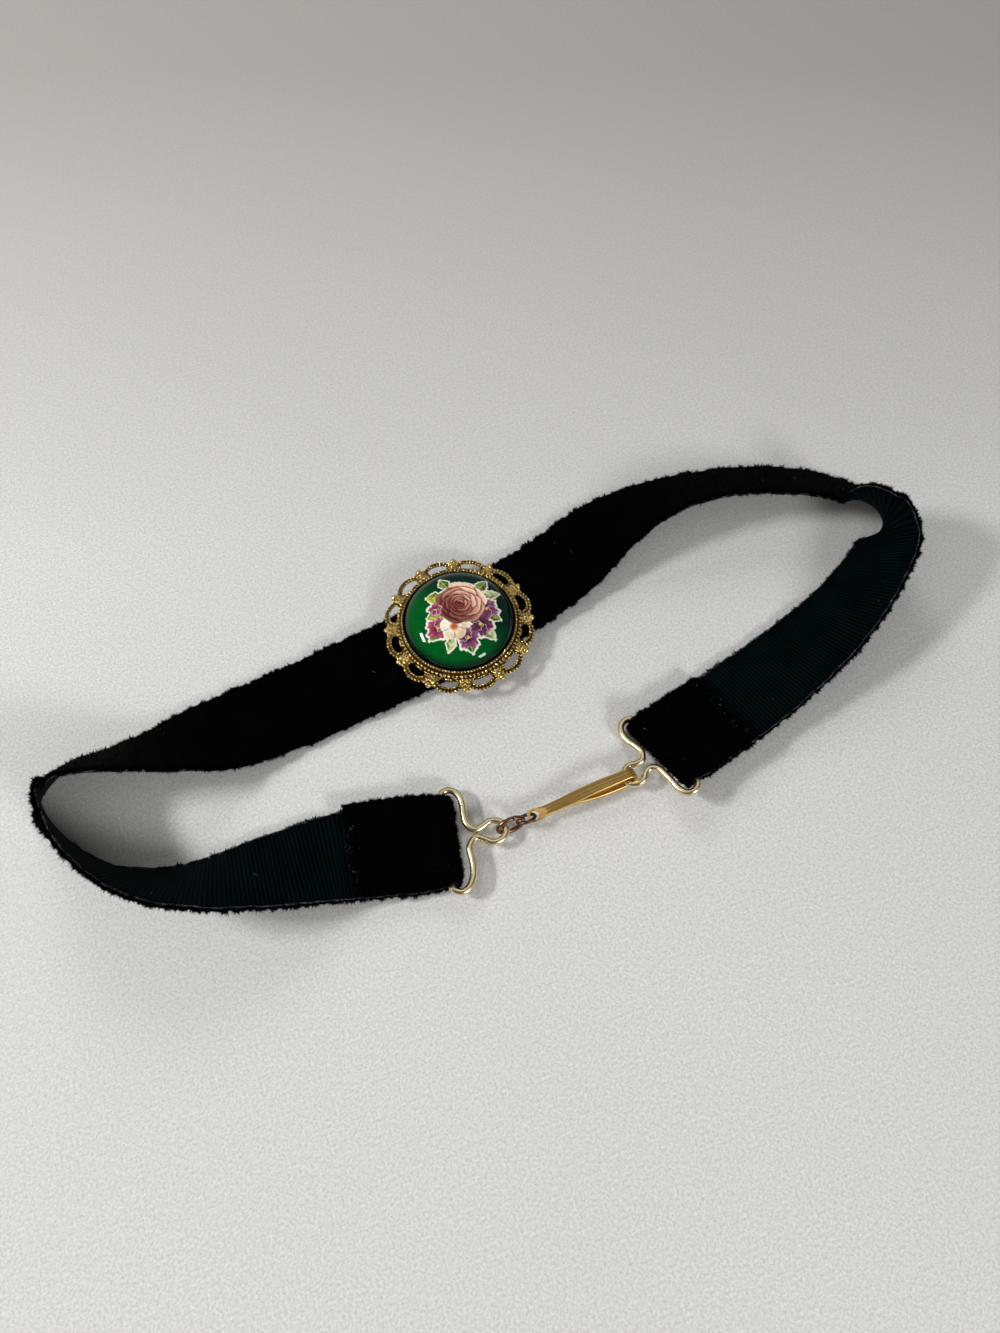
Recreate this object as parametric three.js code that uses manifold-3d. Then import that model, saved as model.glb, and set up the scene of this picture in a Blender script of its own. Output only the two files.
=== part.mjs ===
// A choker necklace, laid down and fastened. A velvet band lies in a long loop, with a round brooch
// on its far stretch and a clasp of wire ends, jump rings and a folded hook on its near side.
// Millimetres, +Z up. X runs along the loop, and the clasp lies towards -Y.

import * as THREE from 'three';
import { mergeVertices } from 'three/addons/utils/BufferGeometryUtils.js';
import Module from 'manifold-3d';

const wasm = await Module();
wasm.setup();

// Driving dimensions: the band
const bandWidth = 16;
const bandThickness = 1.1;
const bandChamfer = 0.25;
const loopLength = 158; // from the band's left turn to its right turn
const loopDepth = 48; // from the band's ends to its farthest stretch
const leftFlapLength = 16.5; // how far the left end is folded back
const rightFlapLength = 13.4;
const leftFlapSlip = 0.6; // how far the left flap slid sideways
const clearance = 0.3; // between neighbouring pieces

// Driving dimensions: the clasp
const wireDiameter = 1.2;
const leftWireReach = 10.2; // from the bar in the fold to the eye's far side
const rightWireReach = 8.5;
const eyeWidth = 3.7; // between the centres of the wire
const largeRingLength = 5.3;
const largeRingWidth = 3.9;
const largeRingWire = 0.8;
const smallRingLength = 3.7;
const smallRingWidth = 3.4;
const smallRingWire = 0.6;
const largeRingRoll = 70; // degrees about the clasp's line, from flat
const smallRingRoll = 130;
const hookLength = 20;
const hookWidth = 2.1;
const hookRoll = 10; // degrees about the clasp's line, from level
const hookSheet = 0.5;
const hookHoleDiameter = 1.6;
const hookHoleWall = 0.4; // from the hole to the hook's tip
const hookSlack = 0.8; // how far the eye's wire sits from the hook's fold
const claspHeight = 2.0; // of the eyes and rings over the surface
const claspTurn = 2.5; // degrees, of the clasp's line from X
const leftHeading = -11.5; // degrees, from X to the way the left wire end points
const rightHeading = 198; // degrees, from X to the way the right wire end points

// Driving dimensions: the brooch
const cabochonDiameter = 20;
const cabochonEdge = 1.0; // the straight edge under the dome
const cabochonRise = 4.4; // the dome over the edge
const settingDiameter = 27.6; // over the lace loops
const settingPlate = 0.6;
const cupWall = 0.7;
const cupHeight = 2.4;
const bezelBeadDiameter = 1.0;
const bezelBeadPitch = 1.35;
const laceLoops = 12;
const laceTurn = -10; // degrees, of the setting from the band's own line
const loopWidth = 1.45; // of a lace loop's two ropes together
const loopThickness = 0.9;
const laceHeight = 0.9; // of the loops' middle over the plate's underside
const ballDiameter = 1.25; // between the loops, at the edge
const granuleDiameter = 0.85;
const backBarThickness = 0.8;
const backBarWidth = 4;

const radians = THREE.MathUtils.degToRad;
const up = new THREE.Vector3(0, 0, 1);
const wireRadius = wireDiameter / 2;
const foldRadius = wireRadius + clearance + bandThickness / 2; // of the band's middle, about the bar
const foldPinch = 0.95; // how much the band narrows in its fold
const foldRun = 3 * foldRadius; // how far the fold's swelling and pinch reach
const eyeFromNeck = 0.09; // of the reach, from a wire end's neck to its eye

// The band's route. A near row's x and y are shares of the way from the band's end to the turn that
// it leads to. A far row's x is a share of loopLength from the left turn, and its y of loopDepth from
// the left turn. lean is in degrees: 0 is flat with the backing up, 90 upright, 180 flat, velvet up.
const claspShare = 0.58; // of loopDepth, from the band's ends to its left turn
const leftTurn = { x: -0.508, y: 0.01, lean: 115 };
const rightTurn = { x: 0.481, y: 0.03, lean: 104 };
const leftEnd = { lean: 2 };
const rightEnd = { lean: 10 };
const nearLeftRows = [
  { x: 0.27, y: 0.125, lean: 8 },
  { x: 0.45, y: 0.155, lean: 26 },
  { x: 0.64, y: 0.2, lean: 46 },
  { x: 0.77, y: 0.29, lean: 61 },
  { x: 0.89, y: 0.49, lean: 79 },
  { x: 0.965, y: 0.74, lean: 93 },
];
const farRows = [
  { x: 0.025, y: 0.08, lean: 118 },
  { x: 0.07, y: 0.075, lean: 124 },
  { x: 0.128, y: 0.062, lean: 142 },
  { x: 0.195, y: 0.074, lean: 168 },
  { x: 0.315, y: 0.116, lean: 180 },
  { x: 0.4813, y: 0.187, lean: 180, brooch: true },
  { x: 0.616, y: 0.305, lean: 174 },
  { x: 0.697, y: 0.405, lean: 159 },
  { x: 0.78, y: 0.435, lean: 144 },
  { x: 0.874, y: 0.39, lean: 142 },
  { x: 0.955, y: 0.275, lean: 142 },
  { x: 0.993, y: 0.15, lean: 138 },
];
const nearRightRows = [
  { x: 0.97, y: 0.83, lean: 60 },
  { x: 0.87, y: 0.66, lean: 46 },
  { x: 0.7, y: 0.455, lean: 33 },
  { x: 0.505, y: 0.3, lean: 20 },
  { x: 0.3, y: 0.17, lean: 13 },
];

// The wire ends, bent by hand: out is a share of the reach, and across of the shoulder's half width,
// towards the band's raised edge. Each side runs from the bar to the eye's neck.
const leftWireSides = {
  foot: [
    { out: 0.03, across: 0.975 },
    { out: 0.13, across: 1.03 },
    { out: 0.24, across: 0.99 },
    { out: 0.33, across: 0.84 },
    { out: 0.35, across: 0.66 },
    { out: 0.35, across: 0.47 },
    { out: 0.38, across: 0.28 },
  ],
  raised: [
    { out: 0.03, across: 0.955 },
    { out: 0.14, across: 1.03 },
    { out: 0.26, across: 0.98 },
    { out: 0.35, across: 0.82 },
    { out: 0.39, across: 0.6 },
    { out: 0.385, across: 0.4 },
    { out: 0.375, across: 0.18 },
  ],
  neck: { out: 0.5, across: -0.07, opening: 0.15 },
};
const rightWireSides = {
  foot: [
    { out: 0.03, across: 0.975 },
    { out: 0.14, across: 1.03 },
    { out: 0.28, across: 1.0 },
    { out: 0.38, across: 0.85 },
    { out: 0.4, across: 0.66 },
    { out: 0.37, across: 0.48 },
    { out: 0.36, across: 0.3 },
  ],
  raised: [
    { out: 0.03, across: 0.975 },
    { out: 0.15, across: 1.03 },
    { out: 0.29, across: 0.98 },
    { out: 0.36, across: 0.82 },
    { out: 0.36, across: 0.62 },
    { out: 0.35, across: 0.42 },
    { out: 0.36, across: 0.22 },
  ],
  neck: { out: 0.47, across: -0.03, opening: 0.9 },
};

// The hook's outline: along is a share of each leaf's length from its free end to the fold, and
// width a share of hookWidth.
const hookUpperLeaf = [
  { along: 0, width: 0.62 },
  { along: 0.03, width: 1.03 },
  { along: 0.09, width: 1.08 },
  { along: 0.15, width: 0.84 },
  { along: 0.45, width: 0.97 },
  { along: 0.8, width: 0.93 },
  { along: 1, width: 0.86 },
];
const hookReturnLeaf = [
  { along: 0, width: 0.48 },
  { along: 0.08, width: 0.72 },
  { along: 0.5, width: 0.92 },
  { along: 0.85, width: 0.93 },
  { along: 1, width: 0.86 },
];
const hookReturnShare = 0.72; // of the upper leaf's length

const velvet = new THREE.MeshStandardMaterial({ color: 0x08080a, roughness: 0.95, metalness: 0 });
const paleGold = new THREE.MeshStandardMaterial({ color: 0xc9ab62, roughness: 0.3, metalness: 1 });
const copper = new THREE.MeshStandardMaterial({ color: 0x6e4424, roughness: 0.4, metalness: 1 });
const leafGold = new THREE.MeshStandardMaterial({ color: 0xbb8d2e, roughness: 0.35, metalness: 1 });
const brass = new THREE.MeshStandardMaterial({ color: 0x8a6a22, roughness: 0.45, metalness: 1 });
const greenGlass = new THREE.MeshStandardMaterial({ color: 0x06381c, roughness: 0.06, metalness: 0 });

function smooth(t) {
  return THREE.MathUtils.smoothstep(t, 0, 1);
}

function headingVector(degrees) {
  return new THREE.Vector3(Math.cos(radians(degrees)), Math.sin(radians(degrees)), 0);
}

// A closed solid through rings of points, each counter-clockwise as seen against the way of travel.
// A ring at an open end is capped by a fan from its first point.
function throughRings(rings, closed = false) {
  const sides = rings[0].length;
  const index = [];
  const spans = closed ? rings.length : rings.length - 1;
  for (let i = 0; i < spans; i += 1) {
    const start = i * sides;
    const next = ((i + 1) % rings.length) * sides;
    for (let j = 0; j < sides; j += 1) {
      const k = (j + 1) % sides;
      index.push(start + j, start + k, next + j, start + k, next + k, next + j);
    }
  }
  if (!closed) {
    const last = spans * sides;
    for (let j = 1; j < sides - 1; j += 1) {
      index.push(0, j + 1, j);
      index.push(last, last + j, last + j + 1);
    }
  }
  const positions = rings.flat().flatMap((point) => point.toArray());
  const geometry = new THREE.BufferGeometry();
  geometry.setAttribute('position', new THREE.Float32BufferAttribute(positions, 3));
  geometry.setIndex(index);
  geometry.computeVertexNormals();
  return geometry;
}

// A flat strip with chamfered edges. A section has its middle, the unit direction of its width, and
// its half width and half thickness. Its normal comes from the way of travel.
function sweptStrip(sections, chamfer) {
  return throughRings(sections.map((section, i) => {
    const before = sections[Math.max(i - 1, 0)].middle;
    const after = sections[Math.min(i + 1, sections.length - 1)].middle;
    const travel = after.clone().sub(before).normalize();
    const normal = travel.cross(section.across).normalize();
    const w = section.halfWidth;
    const h = section.halfThickness;
    const corners = [
      [w, chamfer - h], [w, h - chamfer], [w - chamfer, h], [chamfer - w, h],
      [-w, h - chamfer], [-w, chamfer - h], [chamfer - w, -h], [w - chamfer, -h],
    ];
    return corners.map(([across, rise]) => {
      const point = section.middle.clone().addScaledVector(section.across, across);
      return point.addScaledVector(normal, rise);
    });
  }));
}

// Joining and cutting
function toSolid(geometry) {
  const bare = geometry.clone();
  bare.deleteAttribute('normal');
  bare.deleteAttribute('uv');
  const merged = mergeVertices(bare, 1e-4);
  const mesh = new wasm.Mesh({
    numProp: 3,
    vertProperties: new Float32Array(merged.attributes.position.array),
    triVerts: new Uint32Array(merged.index.array),
  });
  return new wasm.Manifold(mesh);
}

function toGeometry(solid) {
  const mesh = solid.getMesh();
  const geometry = new THREE.BufferGeometry();
  geometry.setAttribute('position', new THREE.BufferAttribute(mesh.vertProperties, 3));
  geometry.setIndex(new THREE.BufferAttribute(mesh.triVerts, 1));
  geometry.computeVertexNormals();
  return geometry;
}

function joined(geometries) {
  return geometries.map(toSolid).reduce((whole, piece) => whole.add(piece));
}

// The clasp's line, measured along it from the far side of the left eye
const largeRingHalf = (largeRingLength - largeRingWire) / 2;
const smallRingHalf = (smallRingLength - smallRingWire) / 2;
const largeRingAt = largeRingHalf - (wireRadius + largeRingWire / 2 + clearance);
const smallRingLeft = largeRingAt + largeRingHalf - (largeRingWire + smallRingWire) / 2 - clearance;
const smallRingAt = smallRingLeft + smallRingHalf;
const hookHoleAt = smallRingAt + smallRingHalf;
const hookHoleInset = hookHoleDiameter / 2 + hookHoleWall;
const hookTipAt = hookHoleAt - hookHoleInset;
const rightEyeAt = hookTipAt + hookLength - hookSheet - clearance - wireRadius - hookSlack;

const leftOut = headingVector(leftHeading);
const rightOut = headingVector(rightHeading);
const claspWay = headingVector(claspTurn);
const leftAcross = new THREE.Vector3(leftOut.y, -leftOut.x, 0); // towards the raised edge
const rightAcross = new THREE.Vector3(-rightOut.y, rightOut.x, 0);
const shoulder = foldPinch * bandWidth / 2 + clearance + wireRadius; // half the wire end's width

// An eye's half length, and its middle as distances out from the bar and across it
function eyeShape(reach, neck) {
  const half = (reach - (neck.out + eyeFromNeck) * reach) / 2;
  return { half, out: reach - half, across: neck.across * shoulder };
}

// From a band end's bar to the place in its eye where a pull along the clasp seats
function barToSeat(out, across, reach, neck, pull) {
  const eye = eyeShape(reach, neck);
  const seat = out.clone().multiplyScalar(eye.out + eye.half * pull.dot(out));
  return seat.addScaledVector(across, eye.across + pull.dot(across) * eyeWidth / 2);
}

const claspBack = claspWay.clone().negate();
const leftArm = barToSeat(leftOut, leftAcross, leftWireReach, leftWireSides.neck, claspWay);
const rightArm = barToSeat(rightOut, rightAcross, rightWireReach, rightWireSides.neck, claspBack);
const barSpan = leftArm.x + claspWay.x * rightEyeAt - rightArm.x;
const leftBar = new THREE.Vector3(-barSpan / 2, -claspShare * loopDepth, 0);
const leftEye = leftBar.clone().add(leftArm);

function onClasp(distance, height = claspHeight) {
  return leftEye.clone().addScaledVector(claspWay, distance).setZ(height);
}

const rightBar = onClasp(rightEyeAt, 0).sub(rightArm);

// The route as points of a smooth curve: x and y in plan, and z the arc that the lean turns through
const leanArc = (lean) => radians(lean) * bandWidth / 2;

function nearPoint(end, turn, row) {
  const x = THREE.MathUtils.lerp(end.x, turn.x * loopLength, row.x);
  const y = THREE.MathUtils.lerp(end.y, turn.y * loopDepth, row.y);
  return new THREE.Vector3(x, y, leanArc(row.lean));
}

function farPoint(row) {
  const x = (leftTurn.x + row.x * (rightTurn.x - leftTurn.x)) * loopLength;
  return new THREE.Vector3(x, row.y * loopDepth, leanArc(row.lean));
}

function endPoint(bar, out, lean, back) {
  return bar.clone().addScaledVector(out, -back).setZ(leanArc(lean));
}

const endLead = foldRadius * 2; // the band leaves its fold straight
const turnRow = { x: 1, y: 1 };
const route = new THREE.CatmullRomCurve3([
  endPoint(leftBar, leftOut, leftEnd.lean, 0),
  endPoint(leftBar, leftOut, leftEnd.lean, endLead),
  ...nearLeftRows.map((row) => nearPoint(leftBar, leftTurn, row)),
  nearPoint(leftBar, leftTurn, { ...turnRow, lean: leftTurn.lean }),
  ...farRows.map(farPoint),
  nearPoint(rightBar, rightTurn, { ...turnRow, lean: rightTurn.lean }),
  ...nearRightRows.map((row) => nearPoint(rightBar, rightTurn, row)),
  endPoint(rightBar, rightOut, rightEnd.lean, endLead),
  endPoint(rightBar, rightOut, rightEnd.lean, 0),
]);

const broochPlace = farPoint(farRows.find((row) => row.brooch)).setZ(0);
const barRise = backBarThickness + clearance; // the band passes over the bar behind it
const riseReach = 1.3 * settingDiameter;

// The band's middle line with the direction of its width, towards the raised edge, at each step
function bandFrames() {
  const step = 2.4;
  const count = Math.round(route.getLength() / step);
  const samples = route.getSpacedPoints(count);
  const middles = samples.map((sample) => {
    const lean = sample.z / (bandWidth / 2);
    const rise = barRise * smooth(1 - Math.hypot(sample.x - broochPlace.x, sample.y - broochPlace.y) / riseReach);
    const halfHeight = (bandWidth * Math.abs(Math.sin(lean)) + bandThickness * Math.abs(Math.cos(lean))) / 2;
    return new THREE.Vector3(sample.x, sample.y, rise + halfHeight);
  });
  return middles.map((middle, i) => {
    const before = middles[Math.max(i - 1, 0)];
    const after = middles[Math.min(i + 1, count)];
    const travel = after.clone().sub(before).normalize();
    const outward = up.clone().cross(travel).normalize();
    const over = travel.clone().cross(outward);
    const lean = samples[i].z / (bandWidth / 2);
    const across = outward.multiplyScalar(Math.cos(lean)).addScaledVector(over, Math.sin(lean));
    const inside = travel.clone().cross(across);
    return { middle, travel, across, inside };
  });
}

const frames = bandFrames();
const leftFrame = frames[0];
const rightFrame = frames[frames.length - 1];

function bandSection(middle, across, spread = 1) {
  const halfWidth = spread * bandWidth / 2;
  return { middle, across, halfWidth, halfThickness: bandThickness / 2 };
}

// How much narrower the band is at a distance from the bar in its fold
function pinchAt(distance) {
  return THREE.MathUtils.lerp(foldPinch, 1, smooth(distance / foldRun));
}

// A folded-back end, from its raw edge to the bar: it lies a clearance over the band and swells
// round the wire. runFrames start at the bar and run away from it.
function flapSections(runFrames, flapLength, slip) {
  const bar = runFrames[0].middle;
  const sections = [];
  for (const frame of runFrames) {
    const distance = frame.middle.distanceTo(bar);
    if (distance > flapLength) {
      break;
    }
    const nearBar = 1 - smooth(distance / foldRun);
    const height = THREE.MathUtils.lerp(bandThickness + clearance, 2 * foldRadius, nearBar);
    const middle = frame.middle.clone().addScaledVector(frame.inside, height);
    middle.addScaledVector(frame.across, -slip * (1 - nearBar));
    sections.push(bandSection(middle, frame.across, pinchAt(distance)));
  }
  return sections;
}

// The half turn of the band round the bar, from the folded-back side to the band's own side
function foldSections(frame, out) {
  const bar = frame.middle.clone().addScaledVector(frame.inside, foldRadius);
  const sections = [];
  const steps = 8;
  for (let i = 1; i < steps; i += 1) {
    const angle = Math.PI * (0.5 - i / steps);
    const middle = bar.clone().addScaledVector(out, foldRadius * Math.cos(angle));
    middle.addScaledVector(frame.inside, foldRadius * Math.sin(angle));
    sections.push(bandSection(middle, frame.across, foldPinch));
  }
  return sections;
}

function velvetBand() {
  const fromRight = [...frames].reverse();
  const run = frames.map((frame) => {
    const distance = Math.min(frame.middle.distanceTo(leftFrame.middle),
      frame.middle.distanceTo(rightFrame.middle));
    return bandSection(frame.middle, frame.across, pinchAt(distance));
  });
  return sweptStrip([
    ...flapSections(frames, leftFlapLength, leftFlapSlip).reverse(),
    ...foldSections(leftFrame, leftFrame.travel.clone().negate()),
    ...run,
    ...foldSections(rightFrame, rightFrame.travel).reverse(),
    ...flapSections(fromRight, rightFlapLength, 0),
  ], bandChamfer);
}

// A bent wire end: a bar through the fold, two shoulders, a neck and an eye. It tips down from the
// bar to the height of the clasp.
function wireEnd(frame, outward, reach, sides) {
  const bar = frame.middle.clone().addScaledVector(frame.inside, foldRadius);
  const tip = Math.asin((bar.z - claspHeight) / reach);
  const out = outward.clone().multiplyScalar(Math.cos(tip)).addScaledVector(frame.inside, -Math.sin(tip));
  const place = (alongOut, alongAcross) => {
    return bar.clone().addScaledVector(out, alongOut).addScaledVector(frame.across, alongAcross);
  };
  const side = (rows, sign) => rows.map((row) => place(row.out * reach, sign * row.across * shoulder));
  const { neck } = sides;
  const eye = eyeShape(reach, neck);
  const neckHalf = wireRadius + neck.opening / 2;
  const round = [];
  const eyeSteps = 8;
  for (let i = 0; i <= eyeSteps; i += 1) {
    const angle = radians(THREE.MathUtils.lerp(-140, 140, i / eyeSteps));
    const alongOut = eye.out + eye.half * Math.cos(angle);
    round.push(place(alongOut, eye.across + Math.sin(angle) * eyeWidth / 2));
  }
  const points = [
    place(0, -0.45 * shoulder),
    place(0, -0.85 * shoulder),
    ...side(sides.foot, -1),
    place(neck.out * reach, eye.across - neckHalf),
    ...round,
    place(neck.out * reach, eye.across + neckHalf),
    ...side(sides.raised, 1).reverse(),
    place(0, 0.85 * shoulder),
    place(0, 0.45 * shoulder),
  ];
  const curve = new THREE.CatmullRomCurve3(points, true);
  return new THREE.TubeGeometry(curve, 80, wireRadius, 6, true);
}

// An oval jump ring along the clasp's line, rolled about that line
function jumpRing(length, width, wire, distance, roll) {
  const sideways = up.clone().cross(claspWay);
  const rolled = sideways.multiplyScalar(Math.cos(radians(roll))).addScaledVector(up, Math.sin(radians(roll)));
  const centre = onClasp(distance);
  const points = [];
  const corners = 12;
  for (let i = 0; i < corners; i += 1) {
    const angle = 2 * Math.PI * i / corners;
    const point = centre.clone().addScaledVector(claspWay, Math.cos(angle) * (length - wire) / 2);
    points.push(point.addScaledVector(rolled, Math.sin(angle) * (width - wire) / 2));
  }
  return new THREE.TubeGeometry(new THREE.CatmullRomCurve3(points, true), 20, wire / 2, 6, true);
}

// The hook: an upper leaf with a hole at its tip, a fold that holds the right eye's wire, and a
// return leaf that springs back under the upper one. It lies level at the hole and rolls from there,
// and its fold is opened by as much as the roll takes from the wire's room.
function claspHook() {
  const foldWidth = hookUpperLeaf[hookUpperLeaf.length - 1].width;
  const rollRoom = Math.sin(radians(hookRoll)) * foldWidth * hookWidth / 2;
  const foldHalf = wireRadius + clearance + hookSheet / 2 + rollRoom;
  const foldAt = hookTipAt + hookLength - hookSheet / 2 - foldHalf;
  const upperLength = foldAt - hookTipAt;
  const returnLength = upperLength * hookReturnShare;
  const sideways = up.clone().cross(claspWay);
  const section = (distance, rise, width, rollShare = 1) => {
    const roll = -radians(hookRoll) * rollShare;
    const over = up.clone().applyAxisAngle(claspWay, roll);
    return {
      middle: onClasp(distance, claspHeight).addScaledVector(over, rise),
      across: sideways.clone().applyAxisAngle(claspWay, roll),
      halfWidth: width * hookWidth / 2,
      halfThickness: hookSheet / 2,
    };
  };
  const upper = hookUpperLeaf.map((row) => {
    const rise = foldHalf * smooth((row.along * upperLength - hookHoleInset) / (0.75 * upperLength));
    return section(hookTipAt + row.along * upperLength, rise, row.width, smooth(row.along / 0.6));
  });
  const fold = [60, 30, 0, -30, -60].map((angle) => {
    const distance = foldAt + foldHalf * Math.cos(radians(angle));
    return section(distance, foldHalf * Math.sin(radians(angle)), foldWidth);
  });
  const returnTipRise = foldHalf * 0.72 - hookSheet - clearance;
  const back = hookReturnLeaf.map((row) => {
    const rise = THREE.MathUtils.lerp(returnTipRise, -foldHalf, smooth(row.along * 1.35));
    return section(foldAt - (1 - row.along) * returnLength, rise, row.width);
  });
  const leaf = sweptStrip([...upper, ...fold, ...back.reverse()], 0.15);
  const drill = new THREE.CylinderGeometry(hookHoleDiameter / 2, hookHoleDiameter / 2, 3 * hookSheet, 12);
  drill.rotateX(Math.PI / 2);
  const holePlace = onClasp(hookHoleAt);
  drill.translate(holePlace.x, holePlace.y, holePlace.z);
  return toGeometry(toSolid(leaf).subtract(toSolid(drill)));
}

// The brooch stands on the band at its own place, turned with the band
const broochFrame = frames.reduce((best, frame) => {
  const distance = (candidate) => candidate.middle.distanceTo(broochPlace);
  return distance(frame) < distance(best) ? frame : best;
});
const broochTurn = Math.atan2(broochFrame.travel.y, broochFrame.travel.x);
const settingBase = barRise + bandThickness + clearance;
const cabochonRadius = cabochonDiameter / 2;
const cupRadius = cabochonRadius + clearance + cupWall;

function settingCup() {
  const profile = [
    [0, 0],
    [cupRadius, 0],
    [cupRadius, cupHeight],
    [cupRadius - cupWall, cupHeight],
    [cupRadius - cupWall, settingPlate],
    [0, settingPlate],
  ];
  const geometry = new THREE.LatheGeometry(profile.map(([x, y]) => new THREE.Vector2(x, y)), 48);
  return geometry.rotateX(Math.PI / 2);
}

// A ring of beads that run into each other on the cup's rim
function bezelRope() {
  const radius = cupRadius - cupWall / 2;
  const steps = 2 * Math.round(2 * Math.PI * radius / bezelBeadPitch);
  const sides = 6;
  const rings = [];
  for (let i = 0; i < steps; i += 1) {
    const swell = bezelBeadDiameter / 2 * (i % 2 === 0 ? 1 : 0.68);
    const ring = [];
    for (let j = 0; j < sides; j += 1) {
      const turn = -2 * Math.PI * j / sides;
      const point = new THREE.Vector3(radius + swell * Math.cos(turn), 0, cupHeight + swell * Math.sin(turn));
      ring.push(point.applyAxisAngle(up, 2 * Math.PI * i / steps));
    }
    rings.push(ring);
  }
  return throughRings(rings, true);
}

// A lace loop: two ropes side by side, with a groove between, that leave the cup's wall, arch out to
// the edge and come back. out is a share of the way to the edge, and side of the loop's half width.
const laceRows = [
  { out: 0, side: 0.7 },
  { out: 0.3, side: 0.98 },
  { out: 0.66, side: 0.94 },
  { out: 0.92, side: 0.55 },
  { out: 1, side: 0 },
  { out: 0.92, side: -0.55 },
  { out: 0.66, side: -0.94 },
  { out: 0.3, side: -0.98 },
  { out: 0, side: -0.7 },
];
// The loop's section, from its groove round: shares of the half width and the half height
const laceSection = [[0, 0.3], [-0.5, 1], [-1, 0.5], [-1, -1], [1, -1], [1, 0.5], [0.5, 1]];

function laceLoop(angle) {
  const foot = cupRadius - cupWall / 2;
  const top = (settingDiameter - loopWidth) / 2;
  const halfSpan = Math.PI * top / laceLoops - 0.5 * loopWidth - 0.1 * ballDiameter;
  const curve = new THREE.CatmullRomCurve3(laceRows.map((row) => {
    return new THREE.Vector3(THREE.MathUtils.lerp(foot, top, row.out), row.side * halfSpan, laceHeight);
  }));
  const steps = 12;
  const rings = [];
  for (let i = 0; i <= steps; i += 1) {
    const across = up.clone().cross(curve.getTangent(i / steps));
    rings.push(laceSection.map(([side, rise]) => {
      const point = curve.getPoint(i / steps).addScaledVector(across, side * loopWidth / 2);
      return point.addScaledVector(up, rise * loopThickness / 2);
    }));
  }
  return throughRings(rings).rotateZ(angle);
}

// A ball at the edge between two loops, with three granules behind it
function laceCluster(angle) {
  const edge = settingDiameter / 2 - 0.65 * ballDiameter;
  const places = [
    { radius: edge, side: 0, diameter: ballDiameter, detail: 1 },
    { radius: edge - 0.8 * ballDiameter, side: 0.45, diameter: granuleDiameter, detail: 0 },
    { radius: edge - 0.8 * ballDiameter, side: -0.45, diameter: granuleDiameter, detail: 0 },
    { radius: edge - 1.3 * ballDiameter, side: 0, diameter: granuleDiameter, detail: 0 },
  ];
  return places.map((place) => {
    const bead = new THREE.IcosahedronGeometry(place.diameter / 2, place.detail);
    bead.translate(place.radius, place.side * granuleDiameter, laceHeight);
    return bead.rotateZ(angle);
  });
}

function broochSetting() {
  const pieces = [settingCup(), bezelRope()];
  for (let i = 0; i < laceLoops; i += 1) {
    const angle = 2 * Math.PI * i / laceLoops;
    pieces.push(laceLoop(angle), ...laceCluster(angle + Math.PI / laceLoops));
  }
  return toGeometry(joined(pieces)).rotateZ(radians(laceTurn));
}

function cabochon() {
  const base = settingPlate + clearance;
  const profile = [new THREE.Vector2(0, base)];
  const rows = 7;
  for (let i = 0; i <= rows; i += 1) {
    const angle = Math.PI / 2 * i / rows;
    const height = base + cabochonEdge + cabochonRise * Math.sin(angle);
    profile.push(new THREE.Vector2(i === rows ? 0 : cabochonRadius * Math.cos(angle), height));
  }
  profile.splice(1, 0, new THREE.Vector2(cabochonRadius, base));
  return new THREE.LatheGeometry(profile, 36).rotateX(Math.PI / 2);
}

// A plain staple behind the band: a bar under it, and an upright past each of its edges up to the
// setting's plate. Its underside is flat on the surface.
function broochBackBar() {
  const inner = bandWidth / 2 + clearance;
  const outer = inner + backBarThickness;
  const top = settingBase - clearance;
  const outline = new THREE.Shape([
    [-outer, 0], [outer, 0], [outer, top], [inner, top],
    [inner, backBarThickness], [-inner, backBarThickness], [-inner, top], [-outer, top],
  ].map(([x, y]) => new THREE.Vector2(x, y)));
  const geometry = new THREE.ExtrudeGeometry(outline, { depth: backBarWidth, bevelEnabled: false });
  geometry.translate(0, 0, -backBarWidth / 2);
  return geometry.rotateX(Math.PI / 2).rotateZ(Math.PI / 2);
}

function named(name, geometry, material) {
  const mesh = new THREE.Mesh(geometry, material);
  mesh.name = name;
  return mesh;
}

const brooch = new THREE.Group();
brooch.add(
  named('brooch_setting', broochSetting(), brass).translateZ(settingBase),
  named('cabochon', cabochon(), greenGlass).translateZ(settingBase),
  named('brooch_back_bar', broochBackBar(), brass),
);
brooch.position.copy(broochPlace);
brooch.rotation.z = broochTurn;

const necklace = new THREE.Group();
necklace.add(
  named('velvet_band', velvetBand(), velvet),
  named('wire_end_left', wireEnd(leftFrame, leftOut, leftWireReach, leftWireSides), paleGold),
  named('wire_end_right', wireEnd(rightFrame, rightOut, rightWireReach, rightWireSides), paleGold),
  named('jump_ring_large', jumpRing(largeRingLength, largeRingWidth, largeRingWire, largeRingAt, largeRingRoll), copper),
  named('jump_ring_small', jumpRing(smallRingLength, smallRingWidth, smallRingWire, smallRingAt, smallRingRoll), copper),
  named('clasp_hook', claspHook(), leafGold),
  brooch,
);

// The origin is under the middle of the whole part, on the surface that it lies on
const box = new THREE.Box3().setFromObject(necklace, true);
const middle = box.getCenter(new THREE.Vector3());
necklace.position.set(-middle.x, -middle.y, -box.min.z);

const group = new THREE.Group();
group.add(necklace);

export default group;
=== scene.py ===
import math

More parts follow.
